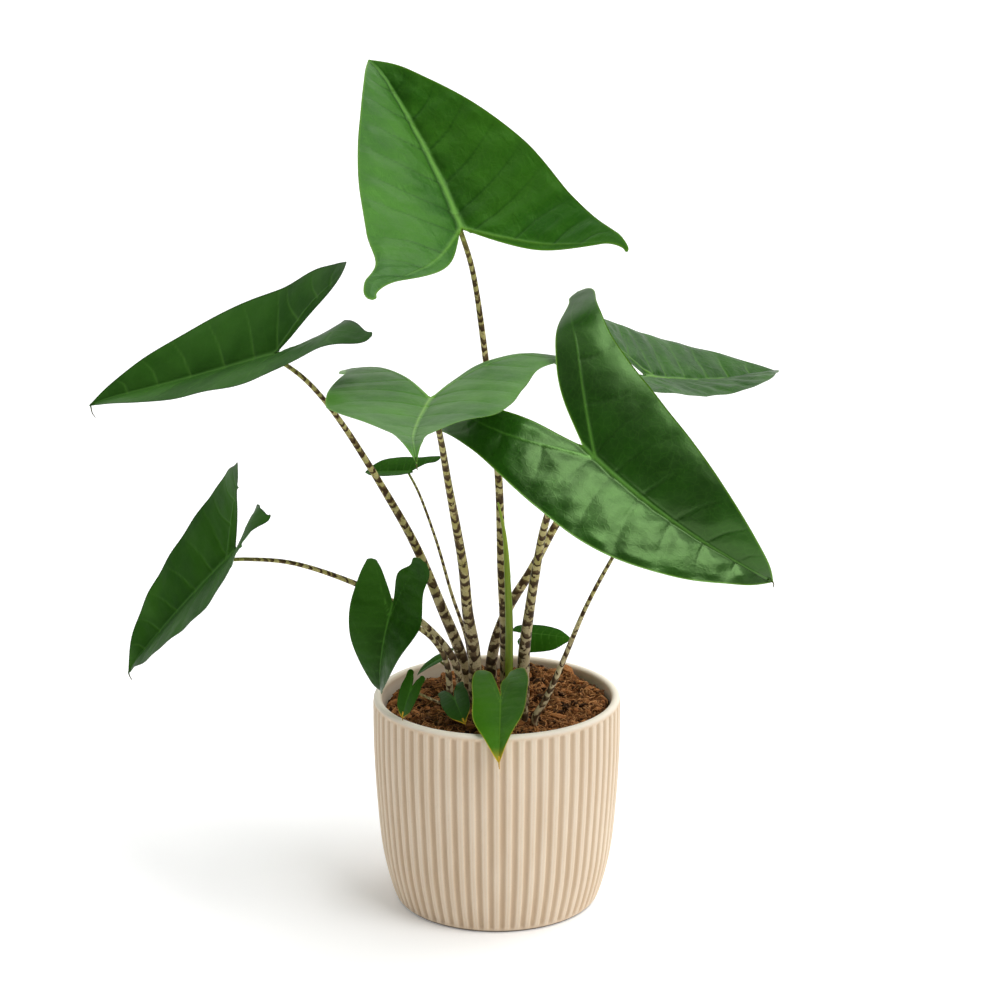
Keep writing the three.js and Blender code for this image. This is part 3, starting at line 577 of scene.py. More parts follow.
def path_frames(path):
    tangents = np.gradient(path, axis=0)
    tangents /= np.linalg.norm(tangents, axis=1, keepdims=True)
    first = np.cross(tangents[0], [0, 1.0, 0])
    normal = first / np.linalg.norm(first)
    normals = [normal]
    for tangent in tangents[1:]:
        normal = normal - tangent * (normal @ tangent)
        normal = normal / np.linalg.norm(normal)
        normals.append(normal)
    normals = np.array(normals)
    return normals, np.cross(tangents, normals)


def tube_rings(path, radius, angles):
    """a ring of points round each place of the path; radius has a row for each place"""
    normals, binormals = path_frames(path)
    return (path[:, None, :] + (radius * np.cos(angles))[..., None] * normals[:, None, :]
            + (radius * np.sin(angles))[..., None] * binormals[:, None, :]).reshape(-1, 3)


def per_ring(values, sides, ends):
    """a rod's vertex values from those of its rings and its two end points"""
    return np.concatenate([np.repeat(values, sides), ends])


def build_rod(name, path, run, radius, sides, material, profile=None, attributes=None):
    """radius per path point; profile gives the share of the radius for (angle, run)"""
    angles = np.arange(sides) * 2 * math.pi / sides
    share = profile(angles[None, :], run[:, None]) if profile else np.ones((len(path), sides))
    points = np.vstack([tube_rings(path, radius[:, None] * share, angles), path[:1], path[-1:]])
    index = ring_index(len(path), sides)
    quads, _ = grid_quads(index)
    foot, head = len(points) - 2, len(points) - 1
    faces = [quads, fan(foot, index[0, 1:], index[0, :-1]), fan(head, index[-1, :-1], index[-1, 1:])]
    height = path[:, 2] * MM
    data = {
        "along": per_ring(run * MM, sides, [0, run[-1] * MM]),
        "around": np.concatenate([np.tile(angles, len(path)), [0, 0]]),
        "height": per_ring(height, sides, height[[0, -1]]),
        "share": per_ring(run / run[-1], sides, [0, 1]),
    }
    return make_object(name, points, faces, {**data, **(attributes or {})}, material)


def root_points(root):
    heights = (STEM_ROOT_HEIGHT, 0.5 * (STEM_ROOT_HEIGHT + STEM_UPRIGHT_HEIGHT),
               STEM_UPRIGHT_HEIGHT - UPRIGHT_MARGIN, STEM_UPRIGHT_HEIGHT)
    return [(*root, z) for z in heights]


def bell(angle, width):
    """a smooth bump around a ring, 1 at angle 0"""
    return np.exp(-(np.angle(np.exp(1j * angle)) / width) ** 2)


def stem_end(leaf):
    """where the stem meets the blade's underside, just ahead of the notch"""
    attach = np.array([max(0, ATTACH_MARGIN - leaf["notch"])], float)
    here = np.zeros(1)
    spot = bent_points(leaf, 0, attach, here)[0]
    step = np.array([0.5])
    along_u = (bent_points(leaf, 0, attach + step, here) - bent_points(leaf, 0, attach - step, here))[0]
    left = (bent_points(leaf, 0, attach, step) - bent_points(leaf, 0, attach, here))[0]
    right = (bent_points(leaf, 1, attach, -step) - bent_points(leaf, 1, attach, here))[0]
    normal = np.cross(along_u, left) - np.cross(along_u, right)
    normal /= np.linalg.norm(normal)
    below = spot - normal * (STEM_TO_BLADE + leaf["radius"][1])
    return below @ rotation(leaf["turn"]).T + np.array(leaf["at"])


def build_stem(leaf, seed):
    base_radius, top_radius = leaf["radius"]
    path, run = even_path(root_points(leaf["root"]) + list(leaf["stem"]) + [stem_end(leaf)], STEM_SPACING)
    soil_share = (STEM_UPRIGHT_HEIGHT - STEM_ROOT_HEIGHT) / run[-1]
    above = np.clip((run / run[-1] - soil_share) / (1 - soil_share), 0, 1)
    radius = top_radius + (base_radius - top_radius) * (1 - above) ** STEM_TAPER
    sheath = np.clip(1 - above * run[-1] / SHEATH_LENGTH, 0, 1)

    def profile(angle, distance):
        # the sheath's open edge at the foot is a furrow with a ridge beside it
        near = np.interp(distance, run, sheath)
        wobble = 0.02 * np.sin(2 * angle + seed) + 0.012 * np.sin(distance / 9 + seed)
        furrow = -0.16 * near * bell(angle - 1.2 - seed, 0.28)
        edge = 0.20 * near * bell(angle - 1.85 - seed, 0.24)
        return 1 + wobble + furrow + edge

    sides = 24 if base_radius > 2 else 14
    spacing = BAND_SPACING + BAND_SPACING_PER_RADIUS * radius
    phase = np.concatenate([[0], np.cumsum(np.diff(run) / spacing[1:])]) + 3.7 * seed
    attributes = {"phase": per_ring(phase, sides, phase[[0, -1]]),
                  "green": per_ring(above * STEM_GREEN, sides, [0, 1]),
                  "neck": per_ring(np.exp((run - run[-1]) / NECK_LENGTH), sides, [0, 1])}
    obj = build_rod(leaf["name"] + "_stem_fine", path, run, radius, sides, STEM_MATERIAL, profile, attributes)
    place_piece(obj, "stem", leaf["name"] + "_stem")


def build_tip(leaf):
    """the thin dry point in which a blade runs out"""
    inside = [bent_points(leaf, 0, np.array([leaf["length"] - back]), np.zeros(1))[0] for back in TIP_INSIDE]
    before, end = (point @ rotation(leaf["turn"]).T + np.array(leaf["at"], float) for point in inside)
    steps = [end + np.array(step) for step in TIP_STEPS[leaf["name"]]]
    path, run = even_path([before, end] + steps, TIP_SPACING)
    material = TIP_MATERIALS["yellow" if leaf["tip_from"] < 1 else "dark"]
    obj = build_rod(leaf["name"] + "_tip", path, run, lerp(*TIP_RADII, run / run[-1]), TIP_SIDES, material)
    place_piece(obj, blade_slot(leaf["look"]))


def build_spear():
    path, run = even_path(root_points(SPEAR_ROOT) + list(SPEAR_POINTS), SPEAR_SPACING)
    radius = np.interp(run / run[-1], np.linspace(0, 1, len(SPEAR_RADII)), SPEAR_RADII)

    def profile(angle, distance):
        # the rolled margin stands over the leaf below it, in a seam that winds slowly round
        turn = np.mod(angle - 2.2 - 0.004 * distance, 2 * math.pi) / (2 * math.pi)
        return 0.86 + 0.17 * turn ** 0.8

    obj = build_rod("rolled_leaf_fine", path, run, radius, SPEAR_SIDES, SPEAR_MATERIAL, profile)
    place_piece(obj, "blade_fresh", "rolled_leaf")


# ---------------------------------------------------------------- pot and soil

def build_pot():
    """one closed skin from the foot up the fluted wall, over the rim and down inside"""
    sides = FLUTE_COUNT * FLUTE_SIDES
    heights = np.concatenate([[0, 0.5, 1.4, 2.5, 3.8], np.linspace(5, 24, 12), np.linspace(28, 158, 28),
                              np.linspace(160, RIM_FOOT, 14)])
    profile = np.array(POT_OUTER_PROFILE, float)
    fine = curve_through(np.column_stack([profile[:, 1], np.zeros(len(profile)), profile[:, 0]]), 12)
    wall = np.interp(heights, fine[:, 2], fine[:, 0])
    phase = (np.arange(sides) % FLUTE_SIDES) / FLUTE_SIDES
    # a broad rounded rib with a painted highlight towards its two edges, and a narrow groove with painted shade
    # in it
    groove = np.exp(-((phase - 0.5) / 0.23) ** 4)
    crest_highlight = np.exp(-((np.abs(phase - 0.5) - 0.36) / 0.10) ** 2)
    cut, shade = groove * FLUTE_DEPTH, groove - 0.8 * crest_highlight
    fade = smooth((heights - FLUTE_FOOT) / 4) * smooth((FLUTE_HEAD - heights) / 3.6)
    rows = [(z, r - f * cut, f * shade) for z, r, f in zip(heights, wall, fade)]
    rim_middle = 0.5 * (RIM_OUTER_RADIUS + POT_RIM_INNER_RADIUS)
    rim_half = 0.5 * (RIM_OUTER_RADIUS - POT_RIM_INNER_RADIUS)
    # the rim is painted paler all round, with a painted highlight on its outer crown
    for a in np.linspace(0, math.pi, 14)[1:]:
        rows.append((RIM_FOOT + (POT_RIM_TOP - RIM_FOOT) * math.sin(a) ** 0.8,
                     np.full(sides, rim_middle + rim_half * math.cos(a)),
                     np.full(sides, -0.7 - 1.3 * max(0, math.sin(1.25 * a)))))
    # the inner wall is painted paler, standing in for the light that reaches into the pot
    for z, r in POT_INSIDE:
        rows.append((z, np.full(sides, r), np.full(sides, -1.2)))
    angle = np.arange(sides) * 2 * math.pi / sides
    points = np.vstack([np.column_stack([r * np.cos(angle), r * np.sin(angle), np.full(sides, z)])
                        for z, r, _ in rows])
    painted_light_tone = np.concatenate([g for _, _, g in rows] + [[0, 0]])
    foot, head = len(points), len(points) + 1
    points = np.vstack([points, [0, 0, 0], [0, 0, POT_INSIDE[-1][0]]])
    index = ring_index(len(rows), sides)
    quads, _ = grid_quads(index)
    faces = [quads, fan(foot, index[0, 1:], index[0, :-1]), fan(head, index[-1, :-1], index[-1, 1:])]
    place_piece(make_object("pot_fine", points, faces, {"groove": painted_light_tone}, POT_MATERIAL), "pot", "pot")


def soil_height(x, y):
    r = np.hypot(x, y) / SOIL_MOUND_RADIUS
    rise = SOIL_BACK_RIGHT_RISE * smooth((x + y) / SOIL_RISE_SPAN)
    return SOIL_EDGE_HEIGHT + SOIL_MOUND_HEIGHT * (1 - r * r) + rise


def value_noise(x, y, cell, seed):
    """smooth seeded lattice noise, 0 to 1"""
    lattice = np.random.default_rng(seed).random((96, 96))
    gx, gy = x / cell + 48, y / cell + 48
    ix, iy = np.floor(gx).astype(int), np.floor(gy).astype(int)
    fx, fy = smooth(gx - ix), smooth(gy - iy)

    def at(a, b):
        return lattice[np.mod(a, 96), np.mod(b, 96)]

    return lerp(lerp(at(ix, iy), at(ix + 1, iy), fx), lerp(at(ix, iy + 1), at(ix + 1, iy + 1), fx), fy)


def soil_relief(x, y):
    """lumps and grains, and a dip along the pot's wall"""
    lumps = 4.6 * (value_noise(x, y, 15, 1) - 0.5) + 4.8 * (value_noise(x, y, 7, 2) - 0.5)
    grains = 2.4 * np.abs(value_noise(x, y, 3.2, 3) - 0.5) + 1.1 * (value_noise(x, y, 1.5, 4) - 0.5)
    return lumps + grains - 3.5 * smooth((np.hypot(x, y) - 83) / 8)


def soil_surface(x, y):
    return soil_height(x, y) + soil_relief(x, y)


def build_soil():
    radius = SOIL_RADIUS * (np.arange(SOIL_RINGS + 1) / SOIL_RINGS) ** 0.85
    angle = np.arange(SOIL_SIDES) * 2 * math.pi / SOIL_SIDES
    x, y = radius[:, None] * np.cos(angle), radius[:, None] * np.sin(angle)
    top = np.stack([x, y, soil_surface(x, y)], -1).reshape(-1, 3)
    skirt = np.column_stack([x[-1], y[-1], np.full(SOIL_SIDES, SOIL_SKIRT_HEIGHT)])
    points = np.vstack([top, skirt, [0, 0, SOIL_SKIRT_HEIGHT]])
    index = ring_index(SOIL_RINGS + 2, SOIL_SIDES)[:, ::-1]
    index[0, :] = index[0, 0]
    quads, tris = grid_quads(index)
    foot = fan(len(points) - 1, index[-1, :-1], index[-1, 1:])[:, ::-1]
    # painted shade in the soil's dips and along the pot's wall, and over the whole skirt below
    hollow_shade = smooth((1.4 - soil_relief(x, y)) / 3.0).reshape(-1)
    data = {"hollow_shade": np.concatenate([hollow_shade, np.ones(SOIL_SIDES + 1)])}
    place_piece(make_object("soil_fine", points, [quads, tris, foot], data, SOIL_MATERIAL), "soil", "soil")


def scatter_spots(count, rng, reach):
    r = reach * np.sqrt(rng.random(count))
    a = rng.random(count) * 2 * math.pi
    return r * np.cos(a), r * np.sin(a)


def scatter_piece(name, shapes, faces, tints, material, smooth_faces):
    """one piece made of many small bodies that have the same faces"""
    count = len(shapes[0])
    faces = [np.vstack([part + k * count for k in range(len(shapes))]) for part in faces]
    place_piece(make_object(name, np.vstack(shapes), faces, {"tint": np.repeat(tints, count)}, material,
                            smooth_faces), "soil")


def build_crumbs():
    """bark and coir crumbs that lie on the soil"""
    rng = np.random.default_rng(11)
    x, y = scatter_spots(CRUMB_COUNT, rng, 88)
    size = rng.uniform(0.9, 2.7, CRUMB_COUNT) * np.where(rng.random(CRUMB_COUNT) < 0.18, 1.9, 1.0)
    size = np.minimum(size, 90 - np.hypot(x, y))
    z = soil_surface(x, y) + 0.15 * size
    rows, cols = CRUMB_GRID
    phi = np.linspace(0, math.pi, rows)[:, None]
    theta = np.arange(cols) * 2 * math.pi / cols
    level = np.cos(phi) * np.ones(cols)
    unit = np.stack([np.sin(phi) * np.cos(theta), np.sin(phi) * np.sin(theta), level], -1)
    index = ring_index(rows, cols)
    index[0, :] = 0
    index[-1, :] = index[-1, 0]
    faces = [part[:, ::-1] for part in grid_quads(index)]
    shapes, tints = [], []
    for k in range(CRUMB_COUNT):
        shape = unit * (1 + 0.35 * (rng.random((rows, cols, 1)) - 0.5))
        shape[0] = shape[0, 0]
        shape[-1] = shape[-1, 0]
        stretch = np.array([rng.uniform(0.8, 1.9), rng.uniform(0.6, 1.0), rng.uniform(0.45, 0.8)])
        turn = rotation((rng.uniform(0, 360), rng.uniform(-30, 30), rng.uniform(-40, 40)))
        shapes.append((shape.reshape(-1, 3) * stretch * size[k]) @ turn.T + (x[k], y[k], z[k]))
        tints.append(rng.random())
    scatter_piece("soil_crumbs", shapes, faces, tints, CRUMB_MATERIAL, False)


def build_fibres():
    """thin coir fibres that lie curled on the soil"""
    rng = np.random.default_rng(12)
    quads, _ = grid_quads(ring_index(FIBRE_STEPS, FIBRE_SIDES))
    last = (FIBRE_STEPS - 1) * FIBRE_SIDES
    quads = np.vstack([quads, [[3, 2, 1, 0], [last, last + 1, last + 2, last + 3]]])
    x, y = scatter_spots(FIBRE_COUNT, rng, 82)
    s = np.linspace(0, 1, FIBRE_STEPS)
    angles = np.arange(FIBRE_SIDES) * math.pi / 2
    shapes, tints = [], []
    for k in range(FIBRE_COUNT):
        length = rng.uniform(5, 18)
        heading = rng.uniform(0, 2 * math.pi)
        direction = heading + rng.uniform(-3.6, 3.6) * s
        px = x[k] + np.cumsum(np.cos(direction)) * length / FIBRE_STEPS
        py = y[k] + np.cumsum(np.sin(direction)) * length / FIBRE_STEPS
        squeeze = np.minimum(1, 89 / np.maximum(np.hypot(px, py), 1e-6))
        px, py = px * squeeze, py * squeeze
        pz = soil_surface(px, py) + (rng.uniform(0.2, 2.4) * np.sin(math.pi * s) + 0.2)
        pz = np.convolve(np.pad(pz, 1, mode="edge"), [0.25, 0.5, 0.25], "valid") + 0.2
        radius = rng.uniform(0.20, 0.48) * (1 - 0.5 * np.abs(2 * s - 1) ** 3)
        shapes.append(tube_rings(np.column_stack([px, py, pz]), radius[:, None], angles))
        tints.append(rng.random())
    scatter_piece("soil_fibres", shapes, [quads], tints, FIBRE_MATERIAL, True)


# ---------------------------------------------------------------- materials

class Nodes:
    """a small helper that adds and links shader nodes"""

    def __init__(self, name):
        self.material = bpy.data.materials.new(name)
        self.material.use_nodes = True
        self.tree = self.material.node_tree
        self.shader = self.tree.nodes["Principled BSDF"]

    def put(self, socket, value):
        """links or sets an input; a colour may come without its alpha"""
        if isinstance(value, bpy.types.NodeSocket):
            self.tree.links.new(value, socket)
        elif socket.type == "RGBA" and len(value) == 3:
            socket.default_value = (*value, 1)
        else:
            socket.default_value = value

    def add(self, kind, inputs=None, **settings):
        node = self.tree.nodes.new(kind)
        for key, value in settings.items():
            setattr(node, key, value)
        for key, value in (inputs or {}).items():
            self.put(node.inputs[key], value)
        return node

    def attribute(self, name, vector=False):
        node = self.add("ShaderNodeAttribute", attribute_name=name)
        return node.outputs["Vector" if vector else "Fac"]

    def position(self):
        return self.add("ShaderNodeNewGeometry").outputs["Position"]

    def math(self, operation, *values):
        return self.add("ShaderNodeMath", dict(enumerate(values)), operation=operation).outputs[0]

    def times(self, a, b):
        return self.math("MULTIPLY", a, b)

    def plus(self, a, b):
        return self.math("ADD", a, b)

    def minus(self, a, b):
        return self.math("SUBTRACT", a, b)

    def scaled(self, vector, scale):
        return self.add("ShaderNodeVectorMath", {0: vector, 1: scale}, operation="MULTIPLY").outputs[0]

    def vector(self, **parts):
        return self.add("ShaderNodeCombineXYZ", parts).outputs[0]

    def noise(self, vector, scale, detail=3.0, roughness=0.55, distortion=0.0):
        node = self.add("ShaderNodeTexNoise", {"Vector": vector, "Scale": scale, "Detail": detail,
                                               "Roughness": roughness, "Distortion": distortion})
        return node.outputs["Fac"]

    def spread(self, value, low, high):
        node = self.add("ShaderNodeMapRange", {"Value": value, "From Min": low, "From Max": high})
        node.interpolation_type = "SMOOTHSTEP"
        return node.outputs["Result"]

    def mix(self, factor, a, b):
        node = self.add("ShaderNodeMix", data_type="RGBA", clamp_factor=True)
        for key, value in ((0, factor), (6, a), (7, b)):
            self.put(node.inputs[key], value)
        return node.outputs[2]

    def cover(self, color, other, mask, amount):
        """color with the other laid over it where the mask is, as thickly as amount says"""
        return self.mix(self.times(mask, amount), color, other)

    def bump(self, height, strength, distance, normal=None):
        inputs = {"Height": height, "Strength": strength, "Distance": distance}
        if normal is not None:
            inputs["Normal"] = normal
        return self.add("ShaderNodeBump", inputs).outputs["Normal"]

    def finish(self, **values):
        for key, value in values.items():
            self.put(self.shader.inputs[key.replace("_", " ")], value)
        return self.material


LEAF_SCATTER = dict(Subsurface_Radius=(0.35, 0.9, 0.12), Subsurface_Scale=0.002)
TIP_YELLOW = (0.62, 0.40, 0.03)
# how dark the painted shade and painted shadow by the midrib are, as a share of the deep green
BESIDE_SHADE = 0.45


def blade_material(name, deep, fresh, rib, vein, rim, back, roughness, specular, tint, wrinkle, lines):
    """patchy green with veins and a fine net, and painted shade near and beside the midrib; wrinkle and lines
    say how deep its crinkles and stripes are
    """
    n = Nodes(name)
    flat = n.attribute("flat", vector=True)
    dark = tuple(BESIDE_SHADE * c for c in deep)
    color = n.mix(n.spread(n.noise(flat, 17, 2.0), 0.30, 0.70), deep, fresh)
    color = n.cover(color, fresh, n.spread(n.noise(flat, 60, 3.0), 0.4, 0.75), 0.30)
    # stripes that run with the side veins
    course = n.plus(n.times(n.attribute("course"), 210.0), n.times(n.noise(flat, 48, 2.0), 2.6))
    stripes = n.noise(n.vector(X=course, Z=n.noise(flat, 20, 1.0)), 1.0, 1.5)
    color = n.cover(color, fresh, n.spread(stripes, 0.56, 0.72), 0.16)
    # painted shade near the midrib, mottled by noise
    shadow = n.times(n.attribute("near"), n.spread(n.noise(flat, 45, 3.0), 0.25, 0.60))
    cells = n.add("ShaderNodeTexVoronoi", {"Vector": n.scaled(flat, (1, 1, 0)), "Scale": 170.0},
                  feature="DISTANCE_TO_EDGE").outputs["Distance"]
    net = n.minus(1.0, n.spread(cells, 0.0, 0.09))
    # dark over shadow and over beside is painted shade and a painted shadow by the midrib
    for other, mask, amount in ((dark, shadow, 0.65), (rib, net, 0.06), (vein, n.attribute("veins"), 0.9),
                                (dark, n.attribute("beside"), 0.8), (rib, n.attribute("ribs"), 0.9),
                                (back, n.attribute("under"), 0.6), (rim, n.attribute("rim"), 0.8)):
        color = n.cover(color, other, mask, amount)
    color = n.mix(n.attribute("tip"), color, TIP_YELLOW)
    lively = n.attribute("lively")
    crinkle = n.noise(n.scaled(flat, (1, 1.5, 1)), 75, 2.5, 0.5, 0.8)
    normal = n.bump(crinkle, n.times(lively, wrinkle), 0.0024)
    normal = n.bump(stripes, n.times(lively, lines), 0.0011, normal)
    normal = n.bump(net, n.times(lively, 0.09), 0.0005, normal)
    normal = n.bump(n.noise(flat, 420, 2.0), 0.12, 0.0003, normal)
    rough = n.add("ShaderNodeMapRange", {"Value": n.noise(flat, 130, 2.0), "To Min": roughness - 0.05,
                                         "To Max": roughness + 0.09}).outputs["Result"]
    return n.finish(Base_Color=color, Roughness=rough, Normal=normal, Subsurface_Weight=0.05,
                    Specular_IOR_Level=specular, Specular_Tint=tint, **LEAF_SCATTER)


def stem_material():
    """broken dark rings on a cream ground that turns khaki green towards the blade"""
    n = Nodes("banded_stem")
    place = n.position()
    height, upper, neck = n.attribute("height"), n.attribute("green"), n.attribute("neck")
    bend = n.math("ABSOLUTE", n.math("SINE", n.attribute("around")))
    ring = n.plus(n.plus(n.attribute("phase"), n.times(bend, 0.42)), n.times(n.noise(place, 110, 2.0), 1.9))
    wave = n.math("SINE", n.times(ring, 2 * math.pi))
    foot = n.spread(height, 0.29, 0.20)
    band = n.plus(n.times(wave, n.minus(0.17, n.times(foot, 0.08))), n.noise(place, 150, 3.0, 0.6))
    band = n.minus(band, n.times(foot, 0.028))
    fade = n.spread(n.math("FRACT", ring), 0.22, 0.56)
    dark = n.times(n.spread(band, 0.430, 0.510), n.minus(1.0, n.times(fade, 0.16)))
    cream = n.mix(n.spread(n.noise(place, 90, 3.0), 0.35, 0.65), (0.66, 0.55, 0.29), (0.43, 0.35, 0.13))
    ground = n.mix(upper, n.cover(cream, (0.60, 0.48, 0.34), foot, 0.6), (0.27, 0.28, 0.05))
    color = n.cover(ground, (0.13, 0.075, 0.03), n.spread(n.noise(place, 620, 2.0), 0.56, 0.68), 0.5)
    shade = n.mix(n.noise(place, 260, 2.0), (0.016, 0.006, 0.002), (0.060, 0.024, 0.008))
    shade = n.cover(shade, (0.11, 0.050, 0.020), fade, 0.7)
    color = n.mix(neck, color, (0.22, 0.27, 0.045))
    color = n.mix(n.times(dark, n.minus(0.97, neck)), color, shade)
    color = n.cover(color, (0.16, 0.10, 0.05), n.spread(height, 0.182, 0.160), 0.55)
    return n.finish(Base_Color=color, Roughness=0.46, Normal=n.bump(n.noise(place, 400, 4.0), 0.25, 0.0006),
                    Specular_IOR_Level=0.2, Specular_Tint=(1.0, 0.92, 0.7))


def spear_material():
    """fresh green with fine lines along it"""
    n = Nodes("rolled_leaf_green")
    streak = n.vector(X=n.times(n.attribute("around"), 3.0), Y=n.times(n.attribute("along"), 12.0))
    lines = n.noise(streak, 2.2, 3.0)
    color = n.mix(n.spread(lines, 0.3, 0.7), (0.15, 0.25, 0.004), (0.30, 0.41, 0.03))
    color = n.mix(n.spread(n.attribute("share"), 0.75, 1.0), color, (0.28, 0.38, 0.03))
    return n.finish(Base_Color=color, Roughness=0.36, Normal=n.bump(lines, 0.3, 0.0005),
                    Specular_IOR_Level=0.25, Subsurface_Weight=0.08, **LEAF_SCATTER)


def tip_material(name, fresh, dry):
    n = Nodes(name)
    place = n.position()
    ends = n.spread(n.attribute("share"), 0.25, 0.75)
    color = n.mix(ends, fresh, n.mix(n.noise(place, 600, 2.0), dry, fresh))
    return n.finish(Base_Color=color, Roughness=0.5, Normal=n.bump(n.noise(place, 900, 2.0), 0.3, 0.0003),
                    Specular_IOR_Level=0.1)


def pot_material():
    """beige glaze, with painted shade in the grooves, painted highlights on the rib edges and the rim, the inner
    wall painted paler and a painted contact shadow at the foot
    """
    n = Nodes("fluted_ceramic")
    place = n.position()
    groove = n.attribute("groove")
    tall = n.noise(n.scaled(place, (1, 1, 0.22)), 55, 4.0)
    color = n.mix(n.spread(tall, 0.3, 0.7), (0.735, 0.572, 0.402), (0.80, 0.648, 0.48))
    color = n.cover(color, (0.44, 0.325, 0.21), n.spread(n.noise(place, 900, 2.0), 0.55, 0.72), 0.16)
    # painted shade in the grooves
    color = n.cover(color, (0.45, 0.31, 0.19), groove, 0.55)
    # painted highlights on the rib edges and the rim, and the inner wall painted paler
    color = n.cover(color, (0.84, 0.74, 0.61), groove, -0.65)
    # painted highlight on the rim's crown
    color = n.mix(n.spread(groove, -1.0, -2.0), color, (0.97, 0.88, 0.75))
    # a painted contact shadow where the foot meets the floor
    low = n.spread(n.add("ShaderNodeSeparateXYZ", {"Vector": place}).outputs["Z"], 0.0024, 0.0008)
    color = n.cover(color, (0.085, 0.060, 0.040), low, 0.9)
    normal = n.bump(n.noise(place, 1400, 3.0), 0.18, 0.0004)
    normal = n.bump(n.noise(place, 90, 2.0), 0.12, 0.0012, normal)
    return n.finish(Base_Color=color, Roughness=0.62, Normal=normal, Specular_IOR_Level=0.35)


def soil_material(name, dark, warm, pale, attribute=None, hollow_shade=False):
    """earthy brown that varies from body to body by the attribute, or else from place to place, with painted
    shade in the soil's hollows if asked
    """
    n = Nodes(name)
    place = n.position()
    value = n.attribute(attribute) if attribute else n.noise(place, 120, 4.0, 0.6)
    color = n.mix(n.spread(value, 0.2, 0.85), dark, warm)
    color = n.cover(color, pale, n.spread(n.noise(place, 300, 5.0, 0.65), 0.5, 0.72), 0.7)
    # painted shade in the soil's hollows
    if hollow_shade:
        color = n.cover(color, (0.018, 0.007, 0.002), n.attribute("hollow_shade"), 0.88)
    normal = n.bump(n.noise(place, 700, 4.0, 0.7), 0.9, 0.0014)
    return n.finish(Base_Color=color, Roughness=0.9, Normal=normal, Specular_IOR_Level=0.1)


def floor_material():
    return Nodes("pale_floor").finish(Base_Color=(0.93, 0.93, 0.93), Roughness=0.9, Specular_IOR_Level=0.1,
                                      Emission_Color=(1, 1, 1), Emission_Strength=0.17)


# the sheen of a leaf takes on some of its green
PALE_TINT = (0.68, 0.95, 0.40)
GREEN_TINT = (0.46, 1.0, 0.26)
GLOSS_TINT = (0.56, 1.0, 0.36)
# deep and fresh green, midrib, side veins, margin and underside, then roughness, specular level and its tint,
# and the depth of wrinkles and lines
LOOKS = {
    "light": ((0.012, 0.080, 0.003), (0.036, 0.142, 0.008), (0.12, 0.29, 0.035), (0.007, 0.048, 0.002),
              (0.10, 0.23, 0.004), (0.10, 0.24, 0.04), 0.38, 0.5, GREEN_TINT, 0.40, 0.32),
    "satin": ((0.022, 0.112, 0.006), (0.055, 0.185, 0.016), (0.20, 0.40, 0.07), (0.060, 0.19, 0.020),
              (0.08, 0.23, 0.004), (0.10, 0.25, 0.04), 0.44, 0.5, PALE_TINT, 0.22, 0.25),
    "dark": ((0.013, 0.064, 0.003), (0.032, 0.118, 0.007), (0.060, 0.175, 0.022), (0.050, 0.150, 0.016),
             (0.010, 0.045, 0.003), (0.05, 0.15, 0.03), 0.46, 0.03, GREEN_TINT, 0.28, 0.20),
    "cool": ((0.016, 0.068, 0.006), (0.037, 0.122, 0.014), (0.075, 0.200, 0.030), (0.070, 0.185, 0.028),
             (0.010, 0.045, 0.003), (0.05, 0.15, 0.03), 0.44, 0.09, GREEN_TINT, 0.28, 0.20),
    "glossy": ((0.005, 0.030, 0.001), (0.013, 0.066, 0.003), (0.10, 0.27, 0.035), (0.005, 0.030, 0.001),
               (0.12, 0.26, 0.010), (0.07, 0.18, 0.04), 0.32, 0.9, GLOSS_TINT, 0.17, 0.12),
    "sheen": ((0.010, 0.058, 0.002), (0.030, 0.120, 0.006), (0.15, 0.33, 0.05), (0.070, 0.190, 0.022),
              (0.04, 0.12, 0.006), (0.07, 0.18, 0.04), 0.33, 0.16, GREEN_TINT, 0.45, 0.25),
    "small": ((0.008, 0.040, 0.002), (0.022, 0.082, 0.005), (0.058, 0.170, 0.020), (0.024, 0.085, 0.007),
              (0.025, 0.080, 0.004), (0.06, 0.17, 0.04), 0.36, 0.14, GREEN_TINT, 0.30, 0.20),
    "fresh": ((0.018, 0.088, 0.001), (0.050, 0.170, 0.003), (0.14, 0.31, 0.03), (0.050, 0.160, 0.010),
              (0.36, 0.40, 0.02), (0.10, 0.26, 0.03), 0.34, 0.50, GREEN_TINT, 0.28, 0.30),
}
# looks whose leaves have the solids' slot for dark blades
DARK_LOOKS = ("dark", "cool", "glossy", "sheen")
BLADE_MATERIALS = {look: blade_material("blade_" + look, *values) for look, values in LOOKS.items()}
STEM_MATERIAL = stem_material()
SPEAR_MATERIAL = spear_material()
TIP_MATERIALS = {"dark": tip_material("dark_leaf_tip", (0.030, 0.085, 0.006), (0.11, 0.045, 0.012)),
                 "yellow": tip_material("yellow_leaf_tip", (0.60, 0.37, 0.03), (0.36, 0.14, 0.02))}
POT_MATERIAL = pot_material()
SOIL_MATERIAL = soil_material("coir_soil", dark=(0.060, 0.022, 0.006), warm=(0.33, 0.130, 0.040),
                              pale=(0.54, 0.25, 0.09), hollow_shade=True)
CRUMB_MATERIAL = soil_material("coir_crumbs", dark=(0.035, 0.013, 0.004), warm=(0.44, 0.180, 0.060),
                               pale=(0.68, 0.35, 0.15), attribute="tint")
FIBRE_MATERIAL = soil_material("coir_fibres", dark=(0.20, 0.075, 0.022), warm=(0.66, 0.31, 0.12),
                               pale=(0.80, 0.47, 0.23), attribute="tint")


def blade_slot(look):
    return "blade_dark" if look in DARK_LOOKS else "blade_" + look


# ---------------------------------------------------------------- build

